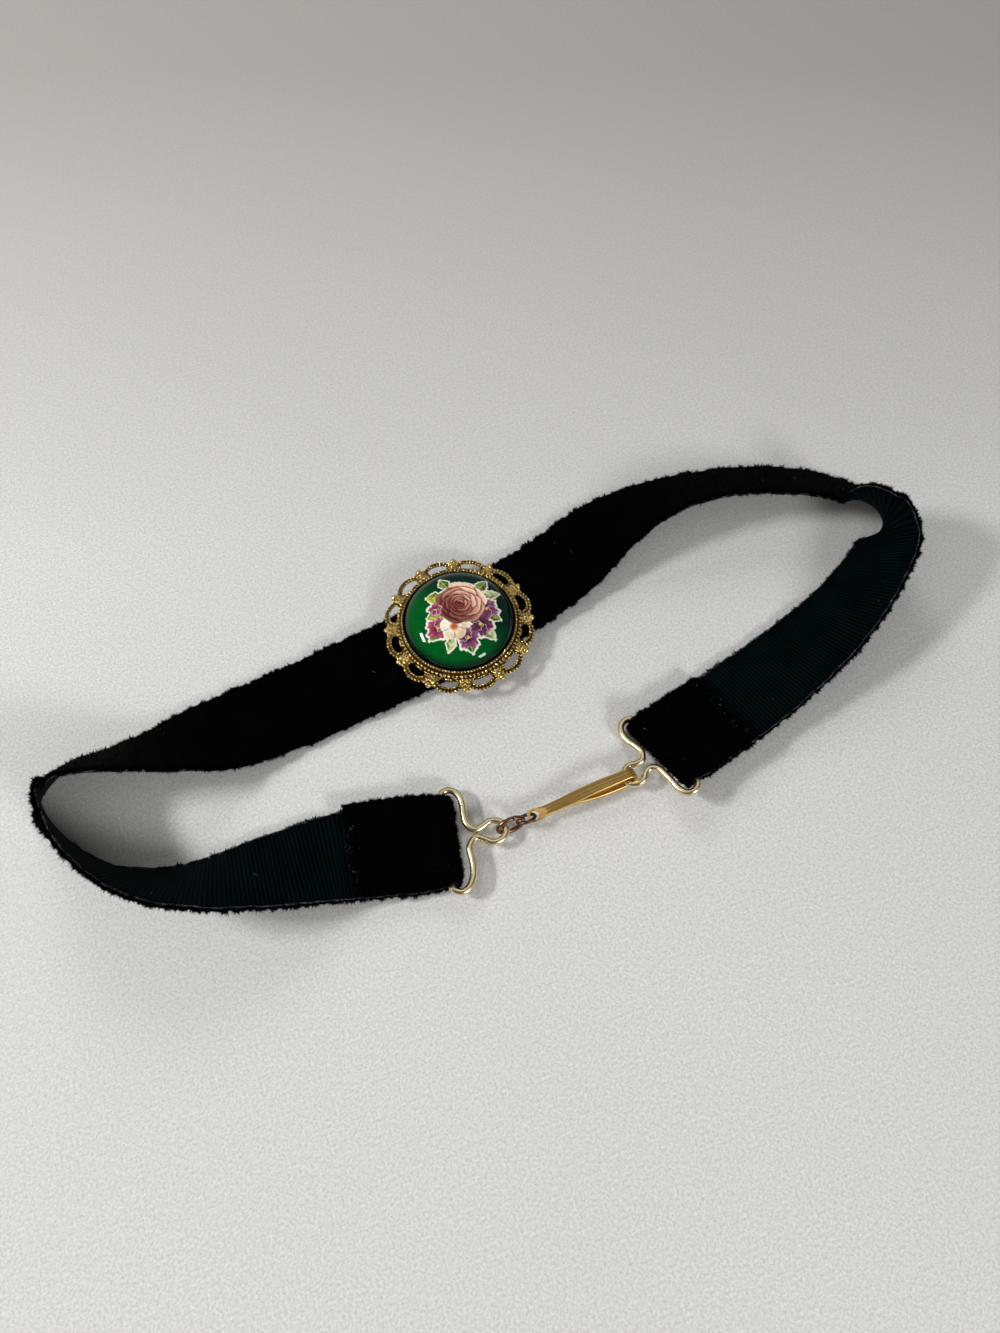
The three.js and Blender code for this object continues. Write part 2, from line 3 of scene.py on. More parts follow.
import bpy
import numpy as np
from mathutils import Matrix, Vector


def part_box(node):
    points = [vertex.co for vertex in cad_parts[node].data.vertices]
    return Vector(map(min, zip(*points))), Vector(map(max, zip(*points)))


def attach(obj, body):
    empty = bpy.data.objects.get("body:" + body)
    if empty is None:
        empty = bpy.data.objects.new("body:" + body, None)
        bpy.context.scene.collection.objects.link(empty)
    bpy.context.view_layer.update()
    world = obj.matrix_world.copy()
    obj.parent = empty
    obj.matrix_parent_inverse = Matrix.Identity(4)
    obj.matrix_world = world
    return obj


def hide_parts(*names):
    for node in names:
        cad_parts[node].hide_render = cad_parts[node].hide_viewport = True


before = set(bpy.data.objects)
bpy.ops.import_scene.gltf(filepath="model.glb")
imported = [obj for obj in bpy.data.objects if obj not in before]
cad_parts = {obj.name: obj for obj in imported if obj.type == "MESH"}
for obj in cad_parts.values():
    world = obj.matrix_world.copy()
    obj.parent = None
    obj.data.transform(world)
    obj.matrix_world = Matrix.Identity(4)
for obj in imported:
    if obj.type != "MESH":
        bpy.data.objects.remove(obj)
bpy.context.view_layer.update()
mm = 0.001  # the tables below are in millimetres
up = np.array((0.0, 0.0, 1.0))

camera = {
    "elevation": 65,  # degrees above the floor
    "turn": 20,  # degrees from the part's Y axis
    "distance": 0.181,  # to the floor in the middle of the picture, in metres
    "lens": 36,
    "sensor": 36,
    "aimFromBrooch": (0.00455, -0.00897),  # the picture's middle from the bar's, in metres
}


def newObject(name, data):
    made = bpy.data.objects.new(name, data)
    bpy.context.scene.collection.objects.link(made)
    return made


def makeCamera():
    low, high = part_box("brooch_back_bar")
    middle = (low + high) / 2
    aim = Vector((middle.x + camera["aimFromBrooch"][0], middle.y + camera["aimFromBrooch"][1], 0))
    elevation = math.radians(camera["elevation"])
    turn = math.radians(camera["turn"])
    flat = math.cos(elevation)
    forward = Vector((math.sin(turn) * flat, math.cos(turn) * flat, -math.sin(elevation)))
    data = bpy.data.cameras.new("camera")
    data.sensor_fit = "HORIZONTAL"
    data.sensor_width = camera["sensor"]
    data.lens = camera["lens"]
    data.clip_start = 0.01
    data.clip_end = 20
    eye = newObject("camera", data)
    eye.location = aim - forward * camera["distance"]
    eye.rotation_mode = "QUATERNION"
    eye.rotation_quaternion = forward.to_track_quat("-Z", "Y")
    bpy.context.scene.camera = eye
    return aim


aimPoint = makeCamera()
print("camera ready")


# Paths and meshes
def unit(v):
    v = np.asarray(v, float)
    return v / np.maximum(np.linalg.norm(v, axis=-1, keepdims=True), 1e-12)


def smoothStep(t):
    t = np.clip(t, 0, 1)
    return t * t * (3 - 2 * t)


def smoothPath(points, count, closed=False):
    # an even run of points on a smooth curve that passes through the given ones
    p = np.asarray(points, float)
    if closed:
        p = np.vstack((p[-1], p, p[0], p[1]))
    else:
        p = np.vstack((2 * p[0] - p[1], p, 2 * p[-1] - p[-2]))
    t = np.linspace(0, 1, 40, endpoint=False)[:, None]
    run = []
    for a, b, c, d in zip(p, p[1:], p[2:], p[3:]):
        ab, bc, cd = (max(np.linalg.norm(w - v) ** 0.5, 1e-4) for v, w in ((a, b), (b, c), (c, d)))
        leave = ((b - a) / ab - (c - a) / (ab + bc) + (c - b) / bc) * bc
        arrive = ((c - b) / bc - (d - b) / (bc + cd) + (d - c) / cd) * bc
        run.append(b + leave * t + (3 * (c - b) - 2 * leave - arrive) * t ** 2
                   + (2 * (b - c) + leave + arrive) * t ** 3)
    run = np.vstack(run + [p[-2][None]])
    reach = np.concatenate(([0], np.cumsum(np.linalg.norm(np.diff(run, axis=0), axis=1))))
    at = np.linspace(0, reach[-1], count, endpoint=not closed)
    return np.stack([np.interp(at, reach, run[:, i]) for i in range(run.shape[1])], 1)


def pathTravel(points, closed=False):
    if closed:
        return unit(np.roll(points, -1, 0) - np.roll(points, 1, 0))
    return unit(np.gradient(points, axis=0))


def gridFaces(rows, columns, wrapRows=False, wrapColumns=False):
    i, j = np.meshgrid(np.arange(rows if wrapRows else rows - 1),
                       np.arange(columns if wrapColumns else columns - 1), indexing="ij")
    i, j = i.ravel(), j.ravel()
    k, l = (i + 1) % rows, (j + 1) % columns
    return np.stack((i * columns + j, i * columns + l, k * columns + l, k * columns + j), 1)


def capFaces(rows, columns):
    return [list(range(columns))[::-1], [(rows - 1) * columns + j for j in range(columns)]]


def tubeShell(points, radius, sides=12, closed=False, squash=1.0):
    # rings round a path, with fans over the open ends
    points = np.asarray(points, float)
    travel = pathTravel(points, closed)
    side = unit(np.cross(travel[0], up if abs(travel[0][2]) < 0.9 else (1, 0, 0)))
    sidesOn = []
    for way in travel:
        side = unit(side - way * (side @ way))
        sidesOn.append(side)
    sidesOn = np.array(sidesOn)
    if closed:  # spread the leftover twist over the whole loop
        last = unit(sidesOn[-1] - travel[0] * (sidesOn[-1] @ travel[0]))
        twist = math.atan2(np.cross(sidesOn[0], last) @ travel[0], sidesOn[0] @ last)
    else:
        twist = 0
    other = np.cross(travel, sidesOn)
    radius = np.broadcast_to(np.asarray(radius, float), (len(points),))
    angle = 2 * np.pi * np.arange(sides) / sides
    angle = angle[None] - (twist * np.arange(len(points)) / len(points))[:, None]
    verts = points[:, None] + radius[:, None, None] * (
        np.cos(angle)[..., None] * sidesOn[:, None] + squash * np.sin(angle)[..., None] * other[:, None])
    verts = verts.reshape(-1, 3)
    faces = gridFaces(len(points), sides, closed, True).tolist()
    if not closed:
        faces += capFaces(len(points), sides)
    return verts, faces


def latheShell(profile, steps=96):
    # profile rows are (radius, height), from the axis round the outside and back to the axis
    profile = np.array(profile, float)
    angle = 2 * np.pi * np.arange(steps) / steps
    inner = profile[1:-1]
    rings = np.stack((inner[:, 0, None] * np.cos(angle), inner[:, 0, None] * np.sin(angle),
                      np.repeat(inner[:, 1, None], steps, 1)), -1).reshape(-1, 3)
    faces = gridFaces(len(inner), steps, False, True).tolist()
    first, last = len(rings), len(rings) + 1
    verts = np.vstack((rings, (0, 0, profile[0, 1]), (0, 0, profile[-1, 1])))
    top = (len(inner) - 1) * steps
    for j in range(steps):
        k = (j + 1) % steps
        faces.append([first, k, j])
        faces.append([last, top + j, top + k])
    return verts, faces


def joinShells(shells):
    verts, faces, start = [], [], 0
    for shellVerts, shellFaces in shells:
        verts.append(shellVerts)
        faces += [[start + i for i in face] for face in shellFaces]
        start += len(shellVerts)
    return np.vstack(verts), faces


def makePiece(name, shell, materials, smooth=True):
    verts, faces = shell
    mesh = bpy.data.meshes.new(name)
    mesh.from_pydata((np.asarray(verts) * mm).tolist(), [], [list(map(int, f)) for f in faces])
    mesh.polygons.foreach_set("use_smooth", [smooth] * len(mesh.polygons))
    for material in materials:
        mesh.materials.append(material)
    mesh.validate()
    mesh.update()
    return newObject(name, mesh)


def storeFloats(mesh, name, values):
    attribute = mesh.attributes.new(name, "FLOAT", "POINT")
    attribute.data.foreach_set("value", values.astype(np.float32).ravel())


def finishPiece(piece, nodes):
    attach(piece, "root")
    if nodes:
        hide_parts(*nodes)
    return piece


# Materials
class Nodes:
    def __init__(self, tree):
        self.tree = tree

    def add(self, kind, inputs=None, **settings):
        node = self.tree.nodes.new(kind)
        for key, value in settings.items():
            setattr(node, key, value)
        for key, value in (inputs or {}).items():
            if isinstance(value, bpy.types.NodeSocket):
                self.tree.links.new(value, node.inputs[key])
            else:
                node.inputs[key].default_value = value
        return node

    def link(self, a, b):
        self.tree.links.new(a, b)

    def math(self, operation, a, b=0.0, c=0.0):
        node = self.add("ShaderNodeMath", {0: a, 1: b, 2: c}, operation=operation)
        return node.outputs[0]

    def mix(self, factor, a, b):
        node = self.add("ShaderNodeMix", {"Factor": factor}, data_type="RGBA")
        for key, value in (("A", a), ("B", b)):
            socket = [s for s in node.inputs if s.name == key and s.type == "RGBA"][0]
            if isinstance(value, bpy.types.NodeSocket):
                self.link(value, socket)
            else:
                socket.default_value = (*value, 1)
        return [s for s in node.outputs if s.type == "RGBA"][0]

    def noise(self, scale, detail=3.0, vector=None, roughness=0.5):
        inputs = {"Scale": scale, "Detail": detail, "Roughness": roughness}
        if vector is not None:
            inputs["Vector"] = vector
        return self.add("ShaderNodeTexNoise", inputs).outputs["Fac"]

    def spread(self, value, low, high, toLow=0.0, toHigh=1.0):
        return self.add("ShaderNodeMapRange", {"Value": value, "From Min": low, "From Max": high,
                                               "To Min": toLow, "To Max": toHigh}).outputs[0]

    def painted(self, part, material):
        inputs = {"Geometry": part.outputs[0], "Material": material}
        return self.add("GeometryNodeSetMaterial", inputs).outputs[0]

    def random(self, low, high):
        # a number of its own for each point
        node = self.add("FunctionNodeRandomValue", data_type="FLOAT")
        for socket in node.inputs:
            if socket.type == "VALUE" and socket.name in ("Min", "Max"):
                socket.default_value = low if socket.name == "Min" else high
        return [s for s in node.outputs if s.type == "VALUE"][0]


def newMaterial(name, **values):
    material = bpy.data.materials.new(name)
    material.use_nodes = True
    nodes = Nodes(material.node_tree)
    nodes.tree.nodes.clear()
    shader = nodes.add("ShaderNodeBsdfPrincipled", values)
    nodes.add("ShaderNodeOutputMaterial", {"Surface": shader.outputs[0]})
    return material, nodes, shader


def objectPlace(nodes):
    return nodes.add("ShaderNodeTexCoord").outputs["Object"]


def colour(nodes, shader, factor, dark, light):
    nodes.link(nodes.mix(factor, dark, light), shader.inputs["Base Color"])


def relieve(nodes, shader, strength, distance, height):
    bump = nodes.add("ShaderNodeBump", {"Strength": strength, "Distance": distance, "Height": height})
    nodes.link(bump.outputs[0], shader.inputs["Normal"])


def metalMaterial(name, bright, dark, roughness, patina, grain=2500.0, cavity=0.0007, relief=0.25,
                  recess=(0.35, 0.9)):
    # plated or tarnished metal: darker in its hollows, and worn in patches
    material, nodes, shader = newMaterial(name, **{"Metallic": 1.0})
    place = objectPlace(nodes)
    patches = nodes.spread(nodes.noise(420.0, 4.0, place), 0.35, 0.7)
    hollow = nodes.add("ShaderNodeAmbientOcclusion", {"Distance": cavity}, samples=4, only_local=True)
    raised = nodes.spread(hollow.outputs["AO"], *recess)
    worn = nodes.math("MULTIPLY", raised, nodes.spread(patches, 0.0, 1.0, 1.0 - patina, 1.0))
    colour(nodes, shader, worn, dark, bright)
    nodes.link(nodes.spread(worn, 0.0, 1.0, min(1, roughness + 0.3), roughness), shader.inputs["Roughness"])
    relieve(nodes, shader, relief, 0.00003, nodes.noise(grain, 2.0, place))
    return material


def velvetMaterial():
    material, nodes, shader = newMaterial("velvetPile", **{
        "Roughness": 0.95, "Specular IOR Level": 0.01, "Sheen Weight": 0.008, "Sheen Roughness": 0.35,
        "Sheen Tint": (0.5, 0.55, 0.62, 1)})
    place = objectPlace(nodes)
    tufts = nodes.noise(5200.0, 3.0, place, 0.65)
    strokes = nodes.noise(160.0, 3.0, place)
    brushed = nodes.spread(strokes, 0.35, 0.7, 0.35, 1.0)
    shade = nodes.math("MULTIPLY", nodes.spread(tufts, 0.35, 0.75), brushed)
    colour(nodes, shader, shade, (0.0003, 0.0003, 0.0004), (0.0026, 0.0024, 0.0028))
    relieve(nodes, shader, 0.8, 0.00025, tufts)
    return material


def backingMaterial(pitch):
    # ribs run across the ribbon, at this pitch along it
    material, nodes, shader = newMaterial("ribbedBacking", **{
        "Roughness": 0.6, "Specular IOR Level": 0.012, "Sheen Weight": 0.002, "Sheen Roughness": 0.4})
    along = nodes.add("ShaderNodeSeparateXYZ", {0: nodes.add("ShaderNodeUVMap", uv_map="ribbon").outputs[0]})
    place = objectPlace(nodes)
    wander = nodes.spread(nodes.noise(700.0, 2.0, place), 0.0, 1.0, -0.6, 0.6)
    turns = nodes.math("MULTIPLY_ADD", along.outputs[0], 2 * math.pi / pitch, wander)
    rib = nodes.spread(nodes.math("SINE", turns), -1.0, 1.0)
    yarn = nodes.noise(3800.0, 2.0, place)
    height = nodes.math("MULTIPLY_ADD", yarn, 0.35, rib)
    # painted highlight and shade: the rib crests are painted lighter as if catching the light and the grooves
    # darker, with patches of uneven tone on top
    shade = nodes.math("MULTIPLY", rib, nodes.spread(nodes.noise(220.0, 3.0, place), 0.3, 0.7, 0.5, 1.0))
    colour(nodes, shader, shade, (0.0002, 0.0006, 0.0007), (0.002, 0.0068, 0.0076))
    relieve(nodes, shader, 0.7, 0.0001, height)
    return material


def threadMaterial(name, dark, light, roughness, gloss=0.05):
    material, nodes, shader = newMaterial(name, **{"Roughness": roughness, "Specular IOR Level": gloss})
    flecks = nodes.spread(nodes.noise(1900.0, 2.0, objectPlace(nodes)), 0.48, 0.66)
    colour(nodes, shader, flecks, dark, light)
    return material


velvet = velvetMaterial()
backing = backingMaterial(0.00066)
# name, dark, light, roughness and gloss
pile = threadMaterial("pileThread", (0.0006, 0.0006, 0.0007), (0.004, 0.0036, 0.004), 0.9, 0.02)
selvedge = threadMaterial("selvedgeThread", (0.002, 0.003, 0.0032), (0.07, 0.075, 0.08), 0.4, 0.3)
lint = threadMaterial("paleLint", (0.06, 0.06, 0.06), (0.3, 0.29, 0.29), 0.9)
# name, bright, dark, roughness and patina
paleGold = metalMaterial("paleGold", (0.94, 0.8, 0.5), (0.45, 0.32, 0.12), 0.24, 0.3,
                         cavity=0.0004, relief=0.07)
leafGold = metalMaterial("leafGold", (0.92, 0.62, 0.2), (0.34, 0.15, 0.03), 0.3, 0.4,
                         cavity=0.0006, relief=0.2)
copper = metalMaterial("tarnishedCopper", (0.3, 0.17, 0.09), (0.06, 0.03, 0.02), 0.25, 0.5, relief=0.1)
darkRing = metalMaterial("darkRing", (0.18, 0.11, 0.07), (0.03, 0.02, 0.014), 0.28, 0.5, relief=0.1)
brass = metalMaterial("antiqueBrass", (1.0, 0.75, 0.27), (0.1, 0.045, 0.008), 0.15, 0.3, grain=3200.0,
                      cavity=0.0005, relief=1.0, recess=(0.45, 0.92))
brassHollows = metalMaterial("brassHollows", (0.15, 0.075, 0.02), (0.015, 0.008, 0.003), 0.5, 0.6, relief=0.6)
print("materials ready")


# Geometry Nodes for what repeats
socketKinds = {float: "Float", int: "Int", str: "String", type(None): "Material"}


def newTree(name, inputs):
    # a tree with these inputs and defaults, what it is given, and where its result goes
    tree = bpy.data.node_groups.new(name, "GeometryNodeTree")
    face = tree.interface
    face.new_socket("Geometry", in_out="INPUT", socket_type="NodeSocketGeometry")
    for label, value in inputs.items():
        kind = "NodeSocket" + socketKinds[type(value)]
        socket = face.new_socket(label, in_out="INPUT", socket_type=kind)
        if value is not None:
            socket.default_value = value
    face.new_socket("Geometry", in_out="OUTPUT", socket_type="NodeSocketGeometry")
    nodes = Nodes(tree)
    return tree, nodes, nodes.add("NodeGroupInput").outputs, nodes.add("NodeGroupOutput").inputs[0]


def evaluatedMesh(piece):
    graph = bpy.context.evaluated_depsgraph_get()
    return bpy.data.meshes.new_from_object(piece.evaluated_get(graph), depsgraph=graph)


def grow(carrier, tree, name, values):
    # runs the tree on the carrier and keeps the result as a plain mesh
    modifier = carrier.modifiers.new("grow", "NODES")
    modifier.node_group = tree
    for item in tree.interface.items_tree:
        if item.item_type == "SOCKET" and item.in_out == "INPUT" and item.name in values:
            modifier[item.identifier] = values[item.name]
    carrier.update_tag()
    mesh = evaluatedMesh(carrier)
    carrier.modifiers.remove(modifier)
    mesh.name = name
    return newObject(name, mesh)


def beadTree():
    # beads of one size at an even pitch along each edge path, strung on a thin core
    tree, nodes, given, made = newTree("beadsOnPath", {
        "Pitch": 0.0005, "Bead Radius": 0.0003, "Core Radius": 0.0002, "Squash": 0.8, "Material": None,
        "Core Material": None})
    curve = nodes.add("GeometryNodeMeshToCurve", {"Mesh": given["Geometry"]})
    even = nodes.add("GeometryNodeResampleCurve", {
        "Curve": curve.outputs[0], "Length": given["Pitch"]}, mode="LENGTH")
    bead = nodes.add("GeometryNodeMeshIcoSphere", {
        "Radius": given["Bead Radius"], "Subdivisions": 2})
    uneven = nodes.random(0.84, 1.1)
    along = nodes.add("GeometryNodeInputTangent")
    turned = nodes.add("FunctionNodeAlignRotationToVector", {"Vector": along.outputs[0]}, axis="X")
    size = nodes.add("ShaderNodeCombineXYZ", {
        0: nodes.math("MULTIPLY", uneven, given["Squash"]), 1: uneven, 2: uneven})
    strung = nodes.add("GeometryNodeInstanceOnPoints", {
        "Points": even.outputs[0], "Instance": bead.outputs["Mesh"], "Rotation": turned.outputs[0],
        "Scale": size.outputs[0]})
    ring = nodes.add("GeometryNodeCurvePrimitiveCircle", {
        "Resolution": 8, "Radius": given["Core Radius"]})
    core = nodes.add("GeometryNodeCurveToMesh", {
        "Curve": curve.outputs[0], "Profile Curve": ring.outputs[0], "Fill Caps": True})
    real = nodes.add("GeometryNodeRealizeInstances", {"Geometry": strung.outputs[0]})
    both = nodes.add("GeometryNodeJoinGeometry")
    for part, material in ((core, "Core Material"), (real, "Material")):
        nodes.link(nodes.painted(part, given[material]), both.inputs[0])
    soft = nodes.add("GeometryNodeSetShadeSmooth", {"Geometry": both.outputs[0]})
    nodes.link(soft.outputs[0], made)
    return tree


def granuleTree():
    # a bead on each point, as large as the point's own "size"
    tree, nodes, given, made = newTree("granules", {"Size": 1.0, "Material": None})
    size = nodes.add("GeometryNodeInputNamedAttribute", {"Name": "size"}, data_type="FLOAT")
    scale = nodes.math("MULTIPLY", size.outputs["Attribute"], given["Size"])
    bead = nodes.add("GeometryNodeMeshIcoSphere", {"Radius": 1.0, "Subdivisions": 2})
    placed = nodes.add("GeometryNodeInstanceOnPoints", {
        "Points": given["Geometry"], "Instance": bead.outputs["Mesh"], "Scale": scale})
    real = nodes.add("GeometryNodeRealizeInstances", {"Geometry": placed.outputs[0]})
    soft = nodes.add("GeometryNodeSetShadeSmooth", {"Geometry": real.outputs[0]})
    nodes.link(nodes.painted(soft, given["Material"]), made)
    return tree


def tuftTree():
    # short fibres that stand on the faces, as many as the carrier's attribute named Share says
    tree, nodes, given, made = newTree("tufts", {
        "Share": "pileShare", "Density": 1.0, "Length": 0.0005, "Thickness": 0.00005, "Tilt": 0.6,
        "Clumps": 900.0, "Seed": 3, "Material": None})
    share = nodes.add("GeometryNodeInputNamedAttribute", {"Name": given["Share"]},
                      data_type="FLOAT")
    density = nodes.math("MULTIPLY", share.outputs["Attribute"], given["Density"])
    spots = nodes.add("GeometryNodeDistributePointsOnFaces", {
        "Mesh": given["Geometry"], "Density": density, "Seed": given["Seed"]})
    fibre = nodes.add("GeometryNodeMeshCone", {
        "Vertices": 3, "Radius Top": 0.0, "Radius Bottom": given["Thickness"],
        "Depth": given["Length"]})
    high = given["Tilt"]
    low = nodes.math("MULTIPLY", high, -1.0)
    lean = nodes.add("FunctionNodeRandomValue", data_type="FLOAT_VECTOR")
    least = nodes.add("ShaderNodeCombineXYZ", {0: low, 1: low, 2: -3.1})
    most = nodes.add("ShaderNodeCombineXYZ", {0: high, 1: high, 2: 3.1})
    nodes.link(least.outputs[0], lean.inputs[0])
    nodes.link(most.outputs[0], lean.inputs[1])
    nodes.link(given["Seed"], [s for s in lean.inputs if s.name == "Seed"][0])
    clump = nodes.spread(nodes.noise(given["Clumps"], 1.0), 0.36, 0.64, 0.35, 1.5)
    placed = nodes.add("GeometryNodeInstanceOnPoints", {
        "Points": spots.outputs["Points"], "Instance": fibre.outputs["Mesh"],
        "Rotation": spots.outputs["Rotation"],
        "Scale": nodes.math("MULTIPLY", nodes.random(0.45, 1.15), clump)})
    tilted = nodes.add("GeometryNodeRotateInstances", {
        "Instances": placed.outputs[0], "Rotation": [s for s in lean.outputs if s.type == "VECTOR"][0]})
    real = nodes.add("GeometryNodeRealizeInstances", {"Geometry": tilted.outputs[0]})
    nodes.link(nodes.painted(real, given["Material"]), made)
    return tree


beads = beadTree()
granules = granuleTree()
tufts = tuftTree()
print("node trees ready")

clasp = {
    "wire": 1.2,
    "leftReach": 10.2,  # from the bar in the fold to the eye's far side
    "rightReach": 8.5,
    "eyeWidth": 3.7,
    "largeRing": (5.3, 3.9, 0.8),  # length, width, wire
    "smallRing": (3.7, 3.4, 0.6),
    "largeRoll": 70,  # degrees about the clasp's line
    "smallRoll": 130,
    "height": 2.0,
    "turn": 2.5,
    "leftHeading": -11.5,
    "rightHeading": 198,
    "clearance": 0.3,
}
hook = {
    "length": 20,
    "width": 2.1,
    "roll": 10,  # degrees about the clasp's line
    "sheet": 0.5,
    "hole": 1.6,
    "holeWall": 0.4,
    "slack": 0.8,  # between its fold and the right eye
    "returnShare": 0.72,  # of the upper leaf's length
    "tipRise": 0.72,  # share of the fold's half height that the return leaf's tip may reach
    "plainLength": 4.5,  # plain sheet round the hole
    "holeSides": 40,
    "drillHalf": 1.2,
    "sharpAngle": 28,
}
ribbon = {
    "width": 16,
    "thickness": 1.1,
    "loopLength": 158,
    "loopDepth": 48,
    "claspShare": 0.58,
    "leftFlap": 16.5,
    "rightFlap": 13.4,
    "leftSlip": 0.6,
    "pinch": 0.95,
    "step": 0.55,  # between the ribbon's rows
    "edgeWander": 0.12,  # how unevenly its edges run
    "edgeInset": 0.1,
    "ripple": 0.16,
    "pileHeight": 0.52,  # both from the ribbon's middle
    "backHeight": 0.36,
    "leftEndLean": 2,  # degrees
    "rightEndLean": 10,
    "rise": 1.1,  # over the bar behind the brooch
    "riseReach": 1.3 * 27.6,  # where the rise begins, from the brooch's middle
    "lowest": 0.02,  # over the surface
    "settleRows": 40,  # rows of the run beside each fold that ripple less
}
# How the ribbon lies: shares of its way, as the part's source has them, and its lean in degrees
leftTurn = (-0.508, 0.01, 115)
rightTurn = (0.481, 0.03, 104)
nearLeft = [(0.27, 0.125, 8), (0.45, 0.155, 26), (0.64, 0.2, 46), (0.77, 0.29, 61), (0.89, 0.49, 79),
            (0.965, 0.74, 93)]
farRows = [(0.025, 0.08, 118), (0.07, 0.075, 124), (0.128, 0.062, 142), (0.195, 0.074, 168),
           (0.315, 0.116, 180), (0.4813, 0.187, 180), (0.616, 0.305, 174), (0.697, 0.405, 159),
           (0.78, 0.435, 144), (0.874, 0.39, 142), (0.955, 0.275, 142), (0.993, 0.15, 138)]
nearRight = [(0.97, 0.83, 60), (0.87, 0.66, 46), (0.7, 0.455, 33), (0.505, 0.3, 20), (0.3, 0.17, 13)]
broochRow = 5  # the far row that the brooch sits on


def heading(degrees):
    return np.array((math.cos(math.radians(degrees)), math.sin(math.radians(degrees)), 0))


wireRadius = clasp["wire"] / 2
foldRadius = wireRadius + clasp["clearance"] + ribbon["thickness"] / 2
shoulder = ribbon["pinch"] * ribbon["width"] / 2 + clasp["clearance"] + wireRadius
leftOut, rightOut = heading(clasp["leftHeading"]), heading(clasp["rightHeading"])
leftAcross = np.array((leftOut[1], -leftOut[0], 0))
rightAcross = np.array((-rightOut[1], rightOut[0], 0))
claspWay = heading(clasp["turn"])
largeHalf = (clasp["largeRing"][0] - clasp["largeRing"][2]) / 2
smallHalf = (clasp["smallRing"][0] - clasp["smallRing"][2]) / 2
largeAt = largeHalf - (wireRadius + clasp["largeRing"][2] / 2 + clasp["clearance"])
smallAt = (largeAt + largeHalf - (clasp["largeRing"][2] + clasp["smallRing"][2]) / 2 - clasp["clearance"]
           + smallHalf)
holeAt = smallAt + smallHalf
holeInset = hook["hole"] / 2 + hook["holeWall"]
tipAt = holeAt - holeInset
rightEyeAt = tipAt + hook["length"] - hook["sheet"] - clasp["clearance"] - wireRadius - hook["slack"]

# The bent wire ends, from the bar to the neck: shares of the reach and of the half width
leftWire = {
    "foot": [(0.03, 0.975), (0.13, 1.03), (0.24, 0.99), (0.33, 0.84), (0.35, 0.66), (0.35, 0.47),
             (0.38, 0.28)],
    "raised": [(0.03, 0.955), (0.14, 1.03), (0.26, 0.98), (0.35, 0.82), (0.39, 0.6), (0.385, 0.4),
               (0.375, 0.18)],
    "neck": (0.5, -0.07, 0.15),  # share of the reach, share across, gap in mm
}
rightWire = {
    "foot": [(0.03, 0.975), (0.14, 1.03), (0.28, 1.0), (0.38, 0.85), (0.4, 0.66), (0.37, 0.48),
             (0.36, 0.3)],
    "raised": [(0.03, 0.975), (0.15, 1.03), (0.29, 0.98), (0.36, 0.82), (0.36, 0.62), (0.35, 0.42),
               (0.36, 0.22)],
    "neck": (0.47, -0.03, 0.9),
}


def eyeShape(reach, neck):
    half = (reach - (neck[0] + 0.09) * reach) / 2
    return half, reach - half, neck[1] * shoulder


def barToSeat(out, across, reach, neck, pull):
    half, eyeOut, eyeAcross = eyeShape(reach, neck)
    return (out * (eyeOut + half * (pull @ out))
            + across * (eyeAcross + (pull @ across) * clasp["eyeWidth"] / 2))


leftArm = barToSeat(leftOut, leftAcross, clasp["leftReach"], leftWire["neck"], claspWay)
rightArm = barToSeat(rightOut, rightAcross, clasp["rightReach"], rightWire["neck"], -claspWay)
barSpan = leftArm[0] + claspWay[0] * rightEyeAt - rightArm[0]
leftBar = np.array((-barSpan / 2, -ribbon["claspShare"] * ribbon["loopDepth"], 0))
leftEye = leftBar + leftArm
rightBar = leftEye + claspWay * rightEyeAt - rightArm
leanReach = ribbon["width"] / 2


def nearPoint(end, turn, row):
    x = end[0] + (turn[0] * ribbon["loopLength"] - end[0]) * row[0]
    y = end[1] + (turn[1] * ribbon["loopDepth"] - end[1]) * row[1]
    return (x, y, math.radians(row[2]) * leanReach)


def farPoint(row):
    x = (leftTurn[0] + row[0] * (rightTurn[0] - leftTurn[0])) * ribbon["loopLength"]
    return (x, row[1] * ribbon["loopDepth"], math.radians(row[2]) * leanReach)


def endPoint(bar, out, lean, back):
    place = bar - out * back
    return (place[0], place[1], math.radians(lean) * leanReach)


routeRows = [
    endPoint(leftBar, leftOut, ribbon["leftEndLean"], 0),
    endPoint(leftBar, leftOut, ribbon["leftEndLean"], foldRadius * 2),
    *[nearPoint(leftBar, leftTurn, row) for row in nearLeft],
    nearPoint(leftBar, leftTurn, (1, 1, leftTurn[2])),
    *[farPoint(row) for row in farRows],
    nearPoint(rightBar, rightTurn, (1, 1, rightTurn[2])),
    *[nearPoint(rightBar, rightTurn, row) for row in nearRight],
    endPoint(rightBar, rightOut, ribbon["rightEndLean"], foldRadius * 2),
    endPoint(rightBar, rightOut, ribbon["rightEndLean"], 0),
]
broochPlace = np.array(farPoint(farRows[broochRow]))


def ribbonFrames():
    # the ribbon's middle line, its width's direction towards the raised edge, and its inner side's normal
    rough = smoothPath(routeRows, 400)
    length = np.linalg.norm(np.diff(rough, axis=0), axis=1).sum()
    route = smoothPath(routeRows, int(length / ribbon["step"]))
    lean = route[:, 2] / leanReach
    away = np.hypot(route[:, 0] - broochPlace[0], route[:, 1] - broochPlace[1])
    rise = ribbon["rise"] * smoothStep(1 - away / ribbon["riseReach"])
    half = (ribbon["width"] * np.abs(np.sin(lean)) + ribbon["thickness"] * np.abs(np.cos(lean))) / 2
    middle = np.stack((route[:, 0], route[:, 1], rise + half), 1)
    travel = pathTravel(middle)
    outward = unit(np.cross(up, travel))
    over = np.cross(travel, outward)
    across = outward * np.cos(lean)[:, None] + over * np.sin(lean)[:, None]
    return middle, travel, across, np.cross(travel, across)


middle, travel, across, inside = ribbonFrames()


